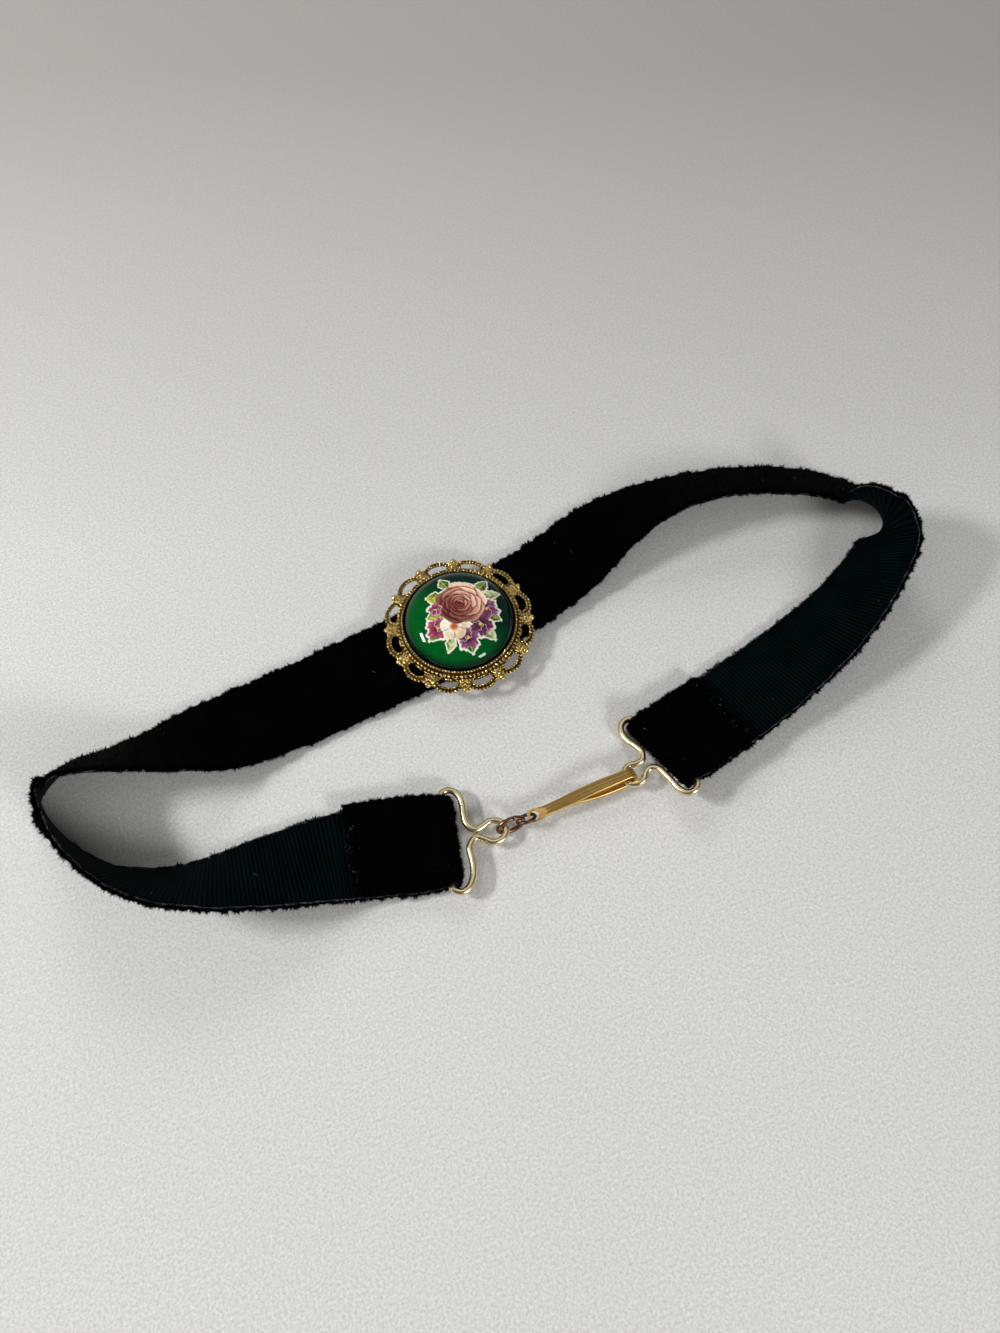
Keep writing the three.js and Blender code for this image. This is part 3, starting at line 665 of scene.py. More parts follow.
def ribbonSections():
    # every row of the ribbon from one raw end to the other: middle, across, inner normal, spread
    fromLeft = np.linalg.norm(middle - middle[0], axis=1)
    fromRight = np.linalg.norm(middle - middle[-1], axis=1)
    foldRun = 3 * foldRadius
    pinch = lambda d: ribbon["pinch"] + (1 - ribbon["pinch"]) * smoothStep(d / foldRun)
    rows = []

    def flap(order, distance, length, slip):
        found = []
        for i in order:
            if distance[i] > length:
                break
            near = 1 - smoothStep(distance[i] / foldRun)
            height = (ribbon["thickness"] + clasp["clearance"]) * (1 - near) + 2 * foldRadius * near
            place = middle[i] + inside[i] * height - across[i] * slip * (1 - near)
            found.append((place, across[i], -inside[i], pinch(distance[i])))
        return found

    def fold(i, out, back):
        found = []
        bar = middle[i] + inside[i] * foldRadius
        for angle in np.linspace(90, -90, 15)[1:-1]:
            turn = math.radians(angle)
            way = out * math.cos(turn) + inside[i] * math.sin(turn)
            found.append((bar + way * foldRadius, across[i], -way, ribbon["pinch"]))
        return found if not back else found[::-1]

    count = len(middle)
    rows += flap(range(count), fromLeft, ribbon["leftFlap"], ribbon["leftSlip"])[::-1]
    rows += fold(0, -travel[0], False)
    leftEnd = len(rows)
    rows += [(middle[i], across[i], inside[i], pinch(min(fromLeft[i], fromRight[i]))) for i in range(count)]
    rightEnd = len(rows)
    rows += fold(-1, travel[-1], True)
    rows += flap(range(count - 1, -1, -1), fromRight, ribbon["rightFlap"], 0)
    # on the fold and flaps the stored normal still points away from the pile
    return [np.array(part) for part in zip(*rows)], leftEnd, rightEnd


(rowMiddle, rowAcross, rowInside, rowSpread), runStart, runEnd = ribbonSections()
print("ribbon rows", len(rowMiddle))


edgeWaves = ((1.1, 0.4), (0.9, 2.2))  # scale and phase of each edge's unevenness, the raised edge first


def wander(u, scale, phase):
    # a slow unevenness along the ribbon, from -1 to 1
    return (np.sin(u * 0.9 * scale + phase) + np.sin(u * 2.3 * scale + 2.1 * phase)
            + 0.6 * np.sin(u * 5.1 * scale + 0.7 * phase)) / 2.6


def runShare(rows):
    # 0 on the flaps and folds, and 1 a little way along the run between them
    return np.clip(np.minimum(rows - runStart, runEnd - rows) / ribbon["settleRows"], 0, 1)


# where the fibres grow: shares of their full density
pileShares = {"flat": 0.015, "fold": 0.3, "backEdge": 0.8, "rawReach": 1.3}
lintShares = {"flat": 0.006, "raw": 0.9, "rawReach": 0.9}


def makeRibbon():
    rows = len(rowMiddle)
    along = np.concatenate(([0], np.cumsum(np.linalg.norm(np.diff(rowMiddle, axis=0), axis=1))))
    v = np.sin(np.linspace(-np.pi / 2, np.pi / 2, 29))
    bulge = np.sqrt(np.maximum(1 - np.abs(v) ** 14, 0))
    pileSide = list(zip(v[::-1], -ribbon["pileHeight"] * bulge[::-1]))
    backSide = list(zip(v[1:-1], ribbon["backHeight"] * bulge[1:-1]))
    profile = np.array(pileSide + backSide)
    onPile = np.arange(len(profile)) < len(pileSide)
    half = rowSpread * ribbon["width"] / 2
    high = half + ribbon["edgeWander"] * wander(along, *edgeWaves[0]) - ribbon["edgeInset"]
    low = half + ribbon["edgeWander"] * wander(along, *edgeWaves[1]) - ribbon["edgeInset"]
    side = np.where(profile[None, :, 0] > 0, high[:, None], low[:, None]) * profile[None, :, 0]
    inRun = runShare(np.arange(rows))[:, None]
    wave = ribbon["ripple"] * wander(along, 0.35, 1.0)[:, None] * profile[None, :, 0] * inRun
    wave += 0.05 * np.sin(along * 2.6)[:, None] * np.abs(profile[None, :, 0]) ** 3
    lift = profile[None, :, 1] + wave
    verts = (rowMiddle[:, None] + rowAcross[:, None] * side[..., None]
             + rowInside[:, None] * lift[..., None])
    # the raw ends are cut a little unevenly
    for end, step in ((0, 1), (rows - 1, -1)):
        way = unit(rowMiddle[end] - rowMiddle[end + step])
        ragged = 0.2 * np.sin(profile[:, 0] * 4.3 + end) + 0.1 * np.sin(profile[:, 0] * 17.0 + 2.0)
        verts[end] += way * ragged[:, None]
    columns = len(profile)
    faces = gridFaces(rows, columns, False, True)
    kind = np.where(onPile[faces[:, 0] % columns] & onPile[faces[:, 1] % columns], 0, 1)
    verts = verts.reshape(-1, 3) + shift
    verts[:, 2] = np.maximum(verts[:, 2], ribbon["lowest"])
    piece = makePiece("velvet_ribbon", outward((verts, faces.tolist() + capFaces(rows, columns))),
                      [velvet, backing])
    mesh = piece.data
    mesh.polygons.foreach_set("material_index", np.concatenate((kind, (1, 1))).astype(np.int32))
    breadth = (profile[None, :, 0] + 1) * ribbon["width"] / 2
    where = np.stack(np.broadcast_arrays(along[:, None], breadth), -1)
    uv = mesh.uv_layers.new(name="ribbon")
    corner = np.empty(len(mesh.loops), np.int32)
    mesh.loops.foreach_get("vertex_index", corner)
    uv.data.foreach_set("uv", (where.reshape(-1, 2)[corner] * mm).astype(np.float32).ravel())
    edge = smoothStep((np.abs(profile[:, 0]) - 0.955) / 0.03)
    nearEnd = np.minimum(along, along[-1] - along)
    raw = smoothStep(1 - nearEnd / pileShares["rawReach"])
    inFold = smoothStep(1 - np.minimum(np.abs(np.arange(rows) - runStart + 6),
                                       np.abs(np.arange(rows) - runEnd - 6)) / 9)
    flat = pileShares["flat"]
    share = np.maximum(edge[None], np.maximum(raw, pileShares["fold"] * inFold)[:, None]) * (1 - flat) + flat
    share = share * np.where(onPile, 1.0, 0.0)[None]
    share = np.maximum(share, pileShares["backEdge"] * edge[None])
    stray = lintShares["raw"] * smoothStep(1 - nearEnd / lintShares["rawReach"])
    stray = np.maximum(stray, lintShares["flat"])[:, None] * np.ones(columns)
    storeFloats(mesh, "pileShare", share)
    storeFloats(mesh, "lintShare", stray)
    return piece, along


def outward(shell):
    # turns the faces round if they point inwards
    verts, faces = shell
    verts = np.asarray(verts, float)
    volume = 0.0
    for face in faces:
        a = verts[face[0]]
        for j, k in zip(face[1:], face[2:]):
            volume += a @ np.cross(verts[j], verts[k])
    return (verts, faces) if volume > 0 else (verts, [face[::-1] for face in faces])


def cadShift():
    # from the tables' frame to the part's, so that the ribbon stands where its CAD node does
    corners = []
    for w in (-1, 1):
        for t in (-1, 1):
            corners.append(rowMiddle + rowAcross * (w * rowSpread * ribbon["width"] / 2)[:, None]
                           + rowInside * t * ribbon["thickness"] / 2)
    corners = np.vstack(corners)
    low, high = (np.array(v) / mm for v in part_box("velvet_band"))
    move = (low + high) / 2 - (corners.min(0) + corners.max(0)) / 2
    move[2] = 0
    return move


shift = cadShift()
ribbonPiece, alongRows = makeRibbon()
pileLooks = {"Share": "pileShare", "Density": 70e6, "Length": 0.00058, "Thickness": 0.00009, "Tilt": 0.8,
             "Clumps": 1000.0, "Seed": 7, "Material": pile}
lintLooks = {"Share": "lintShare", "Density": 3e6, "Length": 0.0007, "Thickness": 0.00003, "Tilt": 1.5,
             "Clumps": 500.0, "Seed": 11, "Material": lint}


def growFibres(name, looks):
    piece = grow(ribbonPiece, tufts, name, looks)
    co = np.empty(len(piece.data.vertices) * 3, np.float32)
    piece.data.vertices.foreach_get("co", co)
    co = co.reshape(-1, 3)
    co[:, 2] = np.maximum(co[:, 2], 0.00001)  # the fibres lie flat where the ribbon rests on the surface
    piece.data.vertices.foreach_set("co", co.ravel())
    piece.data.update()
    finishPiece(piece, [])
    print(name, len(piece.data.polygons))


growFibres("velvet_pile", pileLooks)
growFibres("velvet_lint", lintLooks)
finishPiece(ribbonPiece, ["velvet_band"])
print("ribbon ready", len(ribbonPiece.data.polygons))


def edgeThread():
    # the woven selvedge shows as a thin cord along both edges, from one raw end to the other
    shells = []
    rows = np.arange(2, len(rowMiddle) - 2)
    along = alongRows[rows]
    for sign, wave in zip((1, -1), edgeWaves):
        half = rowSpread[rows] * ribbon["width"] / 2 + ribbon["edgeWander"] * wander(along, *wave) - 0.3
        lift = 0.38 + ribbon["ripple"] * wander(along, 0.35, 1.0) * sign * runShare(rows)
        path = (rowMiddle[rows] + rowAcross[rows] * (sign * half)[:, None]
                + rowInside[rows] * lift[:, None])
        shells.append(tubeShell(path + shift, 0.12 + 0.035 * np.sin(along * 9.0), 6))
    verts, faces = outward(joinShells(shells))
    verts[:, 2] = np.maximum(verts[:, 2], ribbon["lowest"])
    finishPiece(makePiece("selvedge_threads", (verts, faces), [selvedge]), [])


edgeThread()


# The wire ends, rings and hook
def wirePath(bar, insideNormal, acrossWay, out, reach, sides):
    tip = math.asin((bar[2] - clasp["height"]) / reach)
    way = out * math.cos(tip) - insideNormal * math.sin(tip)
    place = lambda a, b: bar + way * a + acrossWay * b
    half, eyeOut, eyeAcross = eyeShape(reach, sides["neck"])
    neckHalf = wireRadius + sides["neck"][2] / 2
    neckOut = sides["neck"][0] * reach
    points = [place(0, -0.45 * shoulder), place(0, -0.85 * shoulder)]
    points += [place(a * reach, -b * shoulder) for a, b in sides["foot"]]
    points.append(place(neckOut, eyeAcross - neckHalf))
    for angle in np.radians(np.linspace(-140, 140, 9)):
        points.append(place(eyeOut + half * math.cos(angle),
                            eyeAcross + math.sin(angle) * clasp["eyeWidth"] / 2))
    points.append(place(neckOut, eyeAcross + neckHalf))
    points += [place(a * reach, b * shoulder) for a, b in sides["raised"]][::-1]
    points += [place(0, 0.85 * shoulder), place(0, 0.45 * shoulder)]
    return smoothPath(points, 420, True)


def makeWires():
    for name, node, i, out, reach, sides in (
            ("clasp_wire_left", "wire_end_left", 0, leftOut, clasp["leftReach"], leftWire),
            ("clasp_wire_right", "wire_end_right", -1, rightOut, clasp["rightReach"], rightWire)):
        bar = middle[i] + inside[i] * foldRadius
        path = wirePath(bar, inside[i], across[i], out, reach, sides)
        shell = tubeShell(path + shift, wireRadius, 16, True)
        finishPiece(makePiece(name, outward(shell), [paleGold]), [node])


def onClasp(distance, height=clasp["height"]):
    place = leftEye + claspWay * distance
    return np.array((place[0], place[1], height))


def makeRing(name, node, size, at, roll, material, slit):
    length, width, wire = size
    side = np.cross(up, claspWay)
    rolled = side * math.cos(math.radians(roll)) + up * math.sin(math.radians(roll))
    slit = math.radians(slit)  # where the ring's two ends meet
    angle = slit + np.linspace(0.03, 2 * np.pi - 0.03, 90)
    path = (onClasp(at) + np.cos(angle)[:, None] * claspWay * (length - wire) / 2
            + np.sin(angle)[:, None] * rolled * (width - wire) / 2)
    shell = tubeShell(path + shift, wire / 2, 14)
    finishPiece(makePiece(name, outward(shell), [material]), [node])


makeWires()
makeRing("ring_large", "jump_ring_large", clasp["largeRing"], largeAt, clasp["largeRoll"], copper, 75)
makeRing("ring_small", "jump_ring_small", clasp["smallRing"], smallAt, clasp["smallRoll"], darkRing, 250)
print("wires and rings ready")

# The hook's leaves: share of the leaf from its free end, share of the width
upperLeaf = [(0, 0.62), (0.03, 1.03), (0.09, 1.08), (0.15, 0.84), (0.45, 0.97), (0.8, 0.93), (1, 0.86)]
returnLeaf = [(0, 0.48), (0.08, 0.72), (0.5, 0.92), (0.85, 0.93), (1, 0.86)]
# the leaf's section: share of the half width, height over the sheet's middle in shares of the half sheet
leafSection = [(1, -0.7), (1, 0.7), (0.88, 1.35), (0.72, 1.25), (0.58, 0.6), (0.2, 0.85), (0, 0.95),
               (-0.2, 0.85), (-0.58, 0.6), (-0.72, 1.25), (-0.88, 1.35), (-1, 0.7), (-1, -0.7),
               (-0.9, -1), (-0.6, -0.55), (-0.3, -0.95), (0, -0.55), (0.3, -0.95), (0.6, -0.55), (0.9, -1)]


def makeHook():
    roll = math.radians(hook["roll"])
    foldHalf = (wireRadius + clasp["clearance"] + hook["sheet"] / 2
                + math.sin(roll) * upperLeaf[-1][1] * hook["width"] / 2)
    foldAt = tipAt + hook["length"] - hook["sheet"] / 2 - foldHalf
    upperLength = foldAt - tipAt
    returnLength = upperLength * hook["returnShare"]
    side = np.cross(up, claspWay)
    rows = []
    share = np.array(upperLeaf)
    for t in np.concatenate((np.linspace(0, 0.15, 16), np.linspace(0.17, 1, 50))):
        rise = foldHalf * smoothStep((t * upperLength - holeInset) / (0.75 * upperLength))
        wide = np.interp(t, share[:, 0], share[:, 1])
        rows.append((tipAt + t * upperLength, rise, wide, smoothStep(t / 0.6)))
    upperRows = len(rows)
    for angle in np.radians(np.linspace(80, -80, 17)):
        rows.append((foldAt + foldHalf * math.cos(angle), foldHalf * math.sin(angle), upperLeaf[-1][1], 1))
    tipRise = foldHalf * hook["tipRise"] - hook["sheet"] - clasp["clearance"]
    share = np.array(returnLeaf)
    for t in np.linspace(1, 0, 44):
        rise = tipRise + (-foldHalf - tipRise) * smoothStep(t * 1.35)
        rows.append((foldAt - (1 - t) * returnLength, rise, np.interp(t, share[:, 0], share[:, 1]), 1))
    rows = np.array(rows)
    rolled = (rows[:, 3] * roll)[:, None]
    over = up * np.cos(rolled) + side * np.sin(rolled)
    side = side * np.cos(rolled) - up * np.sin(rolled)
    path = np.array([onClasp(a) for a in rows[:, 0]]) + over * rows[:, 1, None]
    way = pathTravel(path)
    normal = unit(np.cross(way, side))
    section = np.array(leafSection)
    width = rows[:, 2] * hook["width"] / 2
    # plain sheet round the hole passes into the shaped section along the upper leaf
    shaped = np.clip((rows[:, 0] - tipAt) / hook["plainLength"], 0, 1)
    shaped[upperRows:] = 1
    flat = np.sign(section[None, :, 1])
    lift = flat * (1 - shaped[:, None]) + section[None, :, 1] * shaped[:, None]
    verts = (path[:, None] + side[:, None] * (width[:, None] * section[None, :, 0])[..., None]
             - normal[:, None] * (lift * hook["sheet"] / 2)[..., None])
    faces = gridFaces(len(path), len(section), False, True).tolist() + capFaces(len(path), len(section))
    piece = makePiece("hook_leaf", outward((verts.reshape(-1, 3) + shift, faces)), [leafGold])
    # the hole at the tip
    sides, reach = hook["holeSides"], hook["drillHalf"]
    angle = 2 * np.pi * np.arange(sides) / sides
    ring = hook["hole"] / 2 * np.stack((np.cos(angle), np.sin(angle), 0 * angle), 1) + onClasp(holeAt) + shift
    drillShell = (np.vstack((ring - up * reach, ring + up * reach)),
                  gridFaces(2, sides, False, True).tolist() + capFaces(2, sides))
    drill = makePiece("drill", outward(drillShell), [leafGold])
    cut = piece.modifiers.new("hole", "BOOLEAN")
    cut.object = drill
    cut.operation = "DIFFERENCE"
    cut.solver = "EXACT"
    mesh = evaluatedMesh(piece)
    piece.modifiers.clear()
    piece.data = mesh
    bpy.data.objects.remove(drill)
    mesh.polygons.foreach_set("use_smooth", [True] * len(mesh.polygons))
    mesh.set_sharp_from_angle(angle=math.radians(hook["sharpAngle"]))
    finishPiece(piece, ["clasp_hook"])


makeHook()
print("hook ready")

# The brooch
brooch = {
    "base": 2.5,  # the plate's underside over the surface
    "diameter": 27.6,
    "cup": 10.6,
    "loops": 12,
    "turn": -10,  # degrees, of the lace from the ribbon's own line
    "rimBeads": (10.25, 2.34, 0.26, 0.56),  # radius, height, bead's radius, pitch
    "beadRing": (10.9, 1.8, 0.34, 0.76),
    "innerRope": (0.54, 0.23),  # bead pitch and radius
    "outerRope": (0.64, 0.29),
    "ropeSpread": 0.3,  # each rope's distance from the loop's middle
    "loopHalfWidth": 2.16,
    "laceHeight": 0.9,
    "laceArch": 0.3,
    "web": 0.36,  # radius of the plain wire between a loop's two ropes
    "grains": 14,  # loose ones in each cluster
    "grainReach": (11.15, 12.7),
    "grainSize": (0.17, 0.27),
    "footGrain": 0.22,
}
low, high = (np.array(v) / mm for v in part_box("brooch_back_bar"))
broochMiddle = np.array(((low[0] + high[0]) / 2, (low[1] + high[1]) / 2, brooch["base"]))
nearest = np.argmin(np.hypot(middle[:, 0] - broochPlace[0], middle[:, 1] - broochPlace[1]))
laceStart = math.atan2(travel[nearest][1], travel[nearest][0]) + math.radians(brooch["turn"])


def turned(points, step):
    # to a place in the ring of loops, which are one step apart, and on the brooch's middle
    points = np.asarray(points, float)
    angle = laceStart + 2 * math.pi * step / brooch["loops"]
    c, s = math.cos(angle), math.sin(angle)
    x, y = points[:, 0] * c - points[:, 1] * s, points[:, 0] * s + points[:, 1] * c
    return np.stack((x, y, points[:, 2]), 1) + broochMiddle


def makeCup():
    profile = [(0, 0), (10.95, 0), (11.15, 0.12), (11.2, 0.4), (11.1, 0.7), (10.8, 0.95), (10.62, 1.3),
               (10.6, 2.1), (10.5, 2.3), (10.3, 2.36), (10.1, 2.28), (9.98, 2.1), (9.96, 0.62), (0, 0.6)]
    verts, faces = latheShell(profile, 120)
    piece = makePiece("brooch_cup", outward((verts + broochMiddle, faces)), [brassHollows])
    piece.data.set_sharp_from_angle(angle=math.radians(40))
    finishPiece(piece, ["brooch_setting"])


laceRows = [(0, 0.66), (0.28, 0.94), (0.6, 1.0), (0.87, 0.66), (1, 0), (0.87, -0.66), (0.6, -1.0),
            (0.28, -0.94), (0, -0.66)]  # share of the way out, share of the loop's half width


def loopPath(offset, lift, steps=60):
    foot, top = brooch["cup"], brooch["diameter"] / 2 - brooch["ropeSpread"] - brooch["outerRope"][1]
    points = [(foot + (top - foot) * out, side * brooch["loopHalfWidth"], brooch["laceHeight"])
              for out, side in laceRows]
    path = smoothPath(points, steps)
    side = np.cross(up, pathTravel(path))
    path = path + side * offset
    reach = (np.hypot(path[:, 0], path[:, 1]) - foot) / (top - foot)
    path[:, 2] += lift + brooch["laceArch"] * np.sin(np.clip(reach, 0, 1) * np.pi) - 0.1 * reach
    return path


def pathCarrier(paths):
    mesh = bpy.data.meshes.new("paths")
    verts, edges, start = [], [], 0
    for path, closed in paths:
        verts.append(path)
        n = len(path)
        edges += [(start + i, start + i + 1) for i in range(n - 1)]
        if closed:
            edges.append((start + n - 1, start))
        start += n
    mesh.from_pydata((np.vstack(verts) * mm).tolist(), edges, [])
    return newObject("paths", mesh)


def growOn(carrier, tree, name, values):
    piece = grow(carrier, tree, name, values)
    bpy.data.objects.remove(carrier)
    return finishPiece(piece, [])


def circlePath(radius, height, steps=180):
    turn = np.linspace(0, 2 * np.pi, steps, endpoint=False)
    return np.stack((radius * np.cos(turn), radius * np.sin(turn), np.full(steps, height)), 1) + broochMiddle


def growBeads(name, paths, pitch, bead, core, squash):
    growOn(pathCarrier(paths), beads, name, {
        "Pitch": pitch * mm, "Bead Radius": bead * mm, "Core Radius": core * bead * mm, "Squash": squash,
        "Material": brass, "Core Material": brassHollows})


def makeLace():
    loops = range(brooch["loops"])
    for name, way, lift, rope in (("lace_inner", -1, 0.06, "innerRope"),
                                  ("lace_outer", 1, -0.04, "outerRope")):
        path = loopPath(way * brooch["ropeSpread"], lift)
        growBeads(name, [(turned(path, i), False) for i in loops], *brooch[rope], 0.5, 0.82)
    web = loopPath(0, -0.22, 40)
    shells = [tubeShell(turned(web, i), brooch["web"], 8, squash=0.55) for i in loops]
    finishPiece(makePiece("lace_web", outward(joinShells(shells)), [brassHollows]), [])
    for name, row in (("brooch_rim_beads", "rimBeads"), ("brooch_bead_ring", "beadRing")):
        radius, height, bead, pitch = brooch[row]
        growBeads(name, [(circlePath(radius, height), True)], pitch, bead, 0.6, 0.85)


# a cluster between two loops: radius, sideways place, height, bead radius
clusterRows = [
    (13.12, 0, 0.9, 0.6), (12.42, 0.46, 1.0, 0.4), (12.42, -0.46, 1.0, 0.4), (12.3, 0, 1.32, 0.36),
    (11.8, 0.34, 1.2, 0.34), (11.8, -0.34, 1.2, 0.34), (11.72, 0, 1.5, 0.28), (12.85, 0.72, 0.9, 0.28),
    (12.85, -0.72, 0.9, 0.28), (11.35, 0.3, 1.3, 0.32), (11.35, -0.3, 1.3, 0.32),
    (11.3, 0.85, 1.2, 0.27), (11.3, -0.85, 1.2, 0.27), (12.05, 0.78, 0.95, 0.24),
    (12.05, -0.78, 0.95, 0.24),
]


def makeClusters():
    places, sizes = [], []
    rows = np.array(clusterRows)
    chance = np.random.default_rng(5)
    for i in range(brooch["loops"]):
        places.append(turned(rows[:, :3], i + 0.5))
        sizes.append(rows[:, 3])
        out = chance.uniform(*brooch["grainReach"], brooch["grains"])
        aside = chance.uniform(-1, 1, brooch["grains"]) * (1.5 - 0.55 * (out - brooch["grainReach"][0]))
        places.append(turned(np.stack((out, aside, 1.15 - 0.12 * np.abs(aside)), 1), i + 0.5))
        sizes.append(chance.uniform(*brooch["grainSize"], brooch["grains"]))
    foot = [(11.22, s * 0.46, 1.12) for s in (-1, 0, 1)]  # small grains inside each loop's foot
    for i in range(brooch["loops"]):
        places.append(turned(foot, i))
        sizes.append(np.full(len(foot), brooch["footGrain"]))
    mesh = bpy.data.meshes.new("granulePlaces")
    mesh.from_pydata((np.vstack(places) * mm).tolist(), [], [])
    storeFloats(mesh, "size", np.concatenate(sizes) * mm)
    carrier = newObject("granulePlaces", mesh)
    growOn(carrier, granules, "brooch_granules", {"Size": 1.0, "Material": brass})


makeCup()
makeLace()
makeClusters()
print("setting ready")

# The cabochon and its bouquet
cabochon = {"radius": 9.85, "base": 3.4, "edge": 1.0, "rise": 4.4, "grid": 270, "pictureTurn": 20}


def linear(r, g, b):
    c = np.array((r, g, b)) / 255.0
    return np.where(c <= 0.04045, c / 12.92, ((c + 0.055) / 1.055) ** 2.4)


def blend(a, b, t):
    t = np.clip(t, 0, 1)[:, None]
    return a * (1 - t) + b * t


def localPlace(x, y, cx, cy, degrees):
    c, s = math.cos(math.radians(degrees)), math.sin(math.radians(degrees))
    return (x - cx) * c + (y - cy) * s, -(x - cx) * s + (y - cy) * c


def leafShape(x, y, cx, cy, degrees, length, width, dark, light):
    a, b = localPlace(x, y, cx, cy, degrees)
    t = np.clip(a / length, 0, 1)
    edge = width * np.sin(np.pi * t ** 0.8) ** 0.85 * (1 + 0.09 * np.sin(a * 7))
    far = np.maximum(np.abs(b) - edge, np.maximum(-a, a - length))
    tone = blend(linear(*dark), linear(*light), 0.5 + 0.55 * b / width + 0.3 * np.sin(a * 6 + np.abs(b) * 5))
    rib = smoothStep(1 - np.abs(b) / 0.11)
    return far, blend(tone, linear(232, 232, 150), 0.65 * rib)


# a rose's rings of petals: how far out, the petals' reach and width, their count and their turn
roseRings = [(0.5, 0.56, 0.66, 5, 20), (0.38, 0.46, 0.56, 5, 62), (0.26, 0.37, 0.44, 4, 10),
             (0.16, 0.27, 0.33, 4, 55), (0.09, 0.19, 0.23, 3, 15), (0.04, 0.11, 0.13, 2, 80)]
rosePaints = {"cream": (255, 226, 196), "light": (240, 150, 122), "deep": (196, 74, 66),
              "dark": (92, 18, 24), "sun": 50, "sunShift": 0.1}


def roseShape(x, y, cx, cy, size):
    a, b = (x - cx) / size, (y - cy) * 1.06 / size
    cream, light, deep, dark = (linear(*rosePaints[k]) for k in ("cream", "light", "deep", "dark"))
    sun = math.radians(rosePaints["sun"])
    tone = np.tile(dark, (len(x), 1))
    far = np.full(len(x), 9.0)
    for ring, (out, reach, width, count, start) in enumerate(roseRings):
        inner = ring / (len(roseRings) - 1)
        for k in range(count):
            turn = math.radians(start + 360 * k / count + 11 * math.sin(7 * k + ring))
            lit = (0.5 + 0.5 * math.cos(turn - sun)) * (1 - 0.45 * inner)
            c, s = math.cos(turn), math.sin(turn)
            shiftX = -rosePaints["sunShift"] * inner * math.cos(sun)
            shiftY = -rosePaints["sunShift"] * inner * math.sin(sun)
            u = ((a - shiftX) * c + (b - shiftY) * s - out) / reach
            v = (-(a - shiftX) * s + (b - shiftY) * c) / width
            edge = np.hypot(u, v) - 1 + 0.045 * np.sin(5 * np.arctan2(v, u) + 3 * k + ring)
            rich = dark * (1 - 0.75 * lit) + deep * 0.75 * lit
            pale = (0.5 * dark + 0.5 * deep) * (1 - lit) + light * lit
            petal = blend(rich, pale, np.clip(0.55 + 0.6 * u, 0, 1) ** 1.5)
            fold = smoothStep(1 - np.abs(edge + 0.1 + 0.03 * np.sin(4 * v)) / 0.13)
            fold = fold * smoothStep((u + 0.25) / 0.4)
            petal = blend(petal, light * (1 - lit) + cream * lit, fold * (0.45 + 0.55 * lit))
            petal = blend(petal, cream, 0.8 * lit ** 2 * smoothStep((u - 0.1) / 0.6))
            streak = 0.5 + 0.5 * np.sin(14 * v + 2 * u)
            petal = blend(petal, rich, 0.22 * streak * smoothStep((0.4 - u) / 0.8))
            tone = blend(tone, dark * 0.6, 0.75 * smoothStep(1 - edge / (0.2 + 0.1 * inner)))
            tone = blend(tone, petal, smoothStep(0.5 - edge / 0.07))
            if ring < 2:
                far = np.minimum(far, edge * size * min(reach, width))
    side = 0.5 + 0.65 * (a * math.cos(sun) + b * math.sin(sun))
    return far, tone * (0.42 + 0.72 * smoothStep(side))[:, None]


pansyPetals = ((0, 0.62, 0.5), (72, 0.6, 0.46), (-72, 0.6, 0.46), (140, 0.52, 0.42), (-140, 0.52, 0.42))


def pansyShape(x, y, cx, cy, size, degrees, dark, light):
    far = np.full(len(x), 9.0)
    tone = np.tile(linear(*dark), (len(x), 1))
    for k, (turn, reach, width) in enumerate(pansyPetals):
        a, b = localPlace(x, y, cx, cy, degrees + turn)
        bearing = np.arctan2(b, a - reach * size * 0.8)
        d = (np.hypot((a - reach * size * 0.8) / (0.62 * size), b / (width * size)) - 1) * width * size
        d = d + 0.05 * size * np.sin(7 * bearing + k)
        streak = 0.5 + 0.5 * np.sin(15 * b / size + k)
        petal = blend(linear(*dark), linear(*light), np.clip(a / size, 0, 1) ** 1.3 * (0.55 + 0.45 * streak))
        hem = 0.75 * smoothStep(1 - np.abs(d + 0.07) / 0.1) * (k % 2 == 0)
        petal = blend(petal, linear(244, 214, 226), hem)
        tone = blend(tone, linear(*dark) * 0.35, 0.7 * smoothStep(1 - d / 0.14))
        tone = blend(tone, petal, smoothStep(0.5 - d / 0.06))
        far = np.minimum(far, d)
    r = np.hypot(x - cx, y - cy)
    tone = blend(tone, linear(236, 190, 84), smoothStep(1.3 - r / (0.17 * size)))
    return far, tone


def blossomShape(x, y, cx, cy, size):
    a, b = x - cx, y - cy
    r, th = np.hypot(a, b), np.arctan2(b, a)
    lobe = np.abs(np.sin(2.5 * th + 0.5))
    edge = size * (0.8 + 0.2 * lobe ** 0.5)
    shade = np.clip(0.35 * r / size + 0.4 * (a - b) / size, 0, 1)
    tone = blend(linear(252, 244, 222), linear(202, 160, 112), shade)
    crease = smoothStep(1 - lobe * r / (0.22 * size))
    tone = blend(tone, linear(140, 92, 62), 0.75 * crease * smoothStep(r / size * 2.4 - 0.5))
    tone = blend(tone, linear(255, 250, 236), 0.6 * smoothStep(1 - np.abs(edge - 0.16 - r) / 0.12))
    tone = blend(tone, linear(224, 124, 52), smoothStep(1.35 - r / (0.32 * size)))
    dots = smoothStep(1.5 - r / (0.24 * size)) * smoothStep(np.sin(a * 13) * np.sin(b * 14) * 2 + 0.4)
    tone = blend(tone, linear(112, 44, 20), dots)
    return r - edge, tone


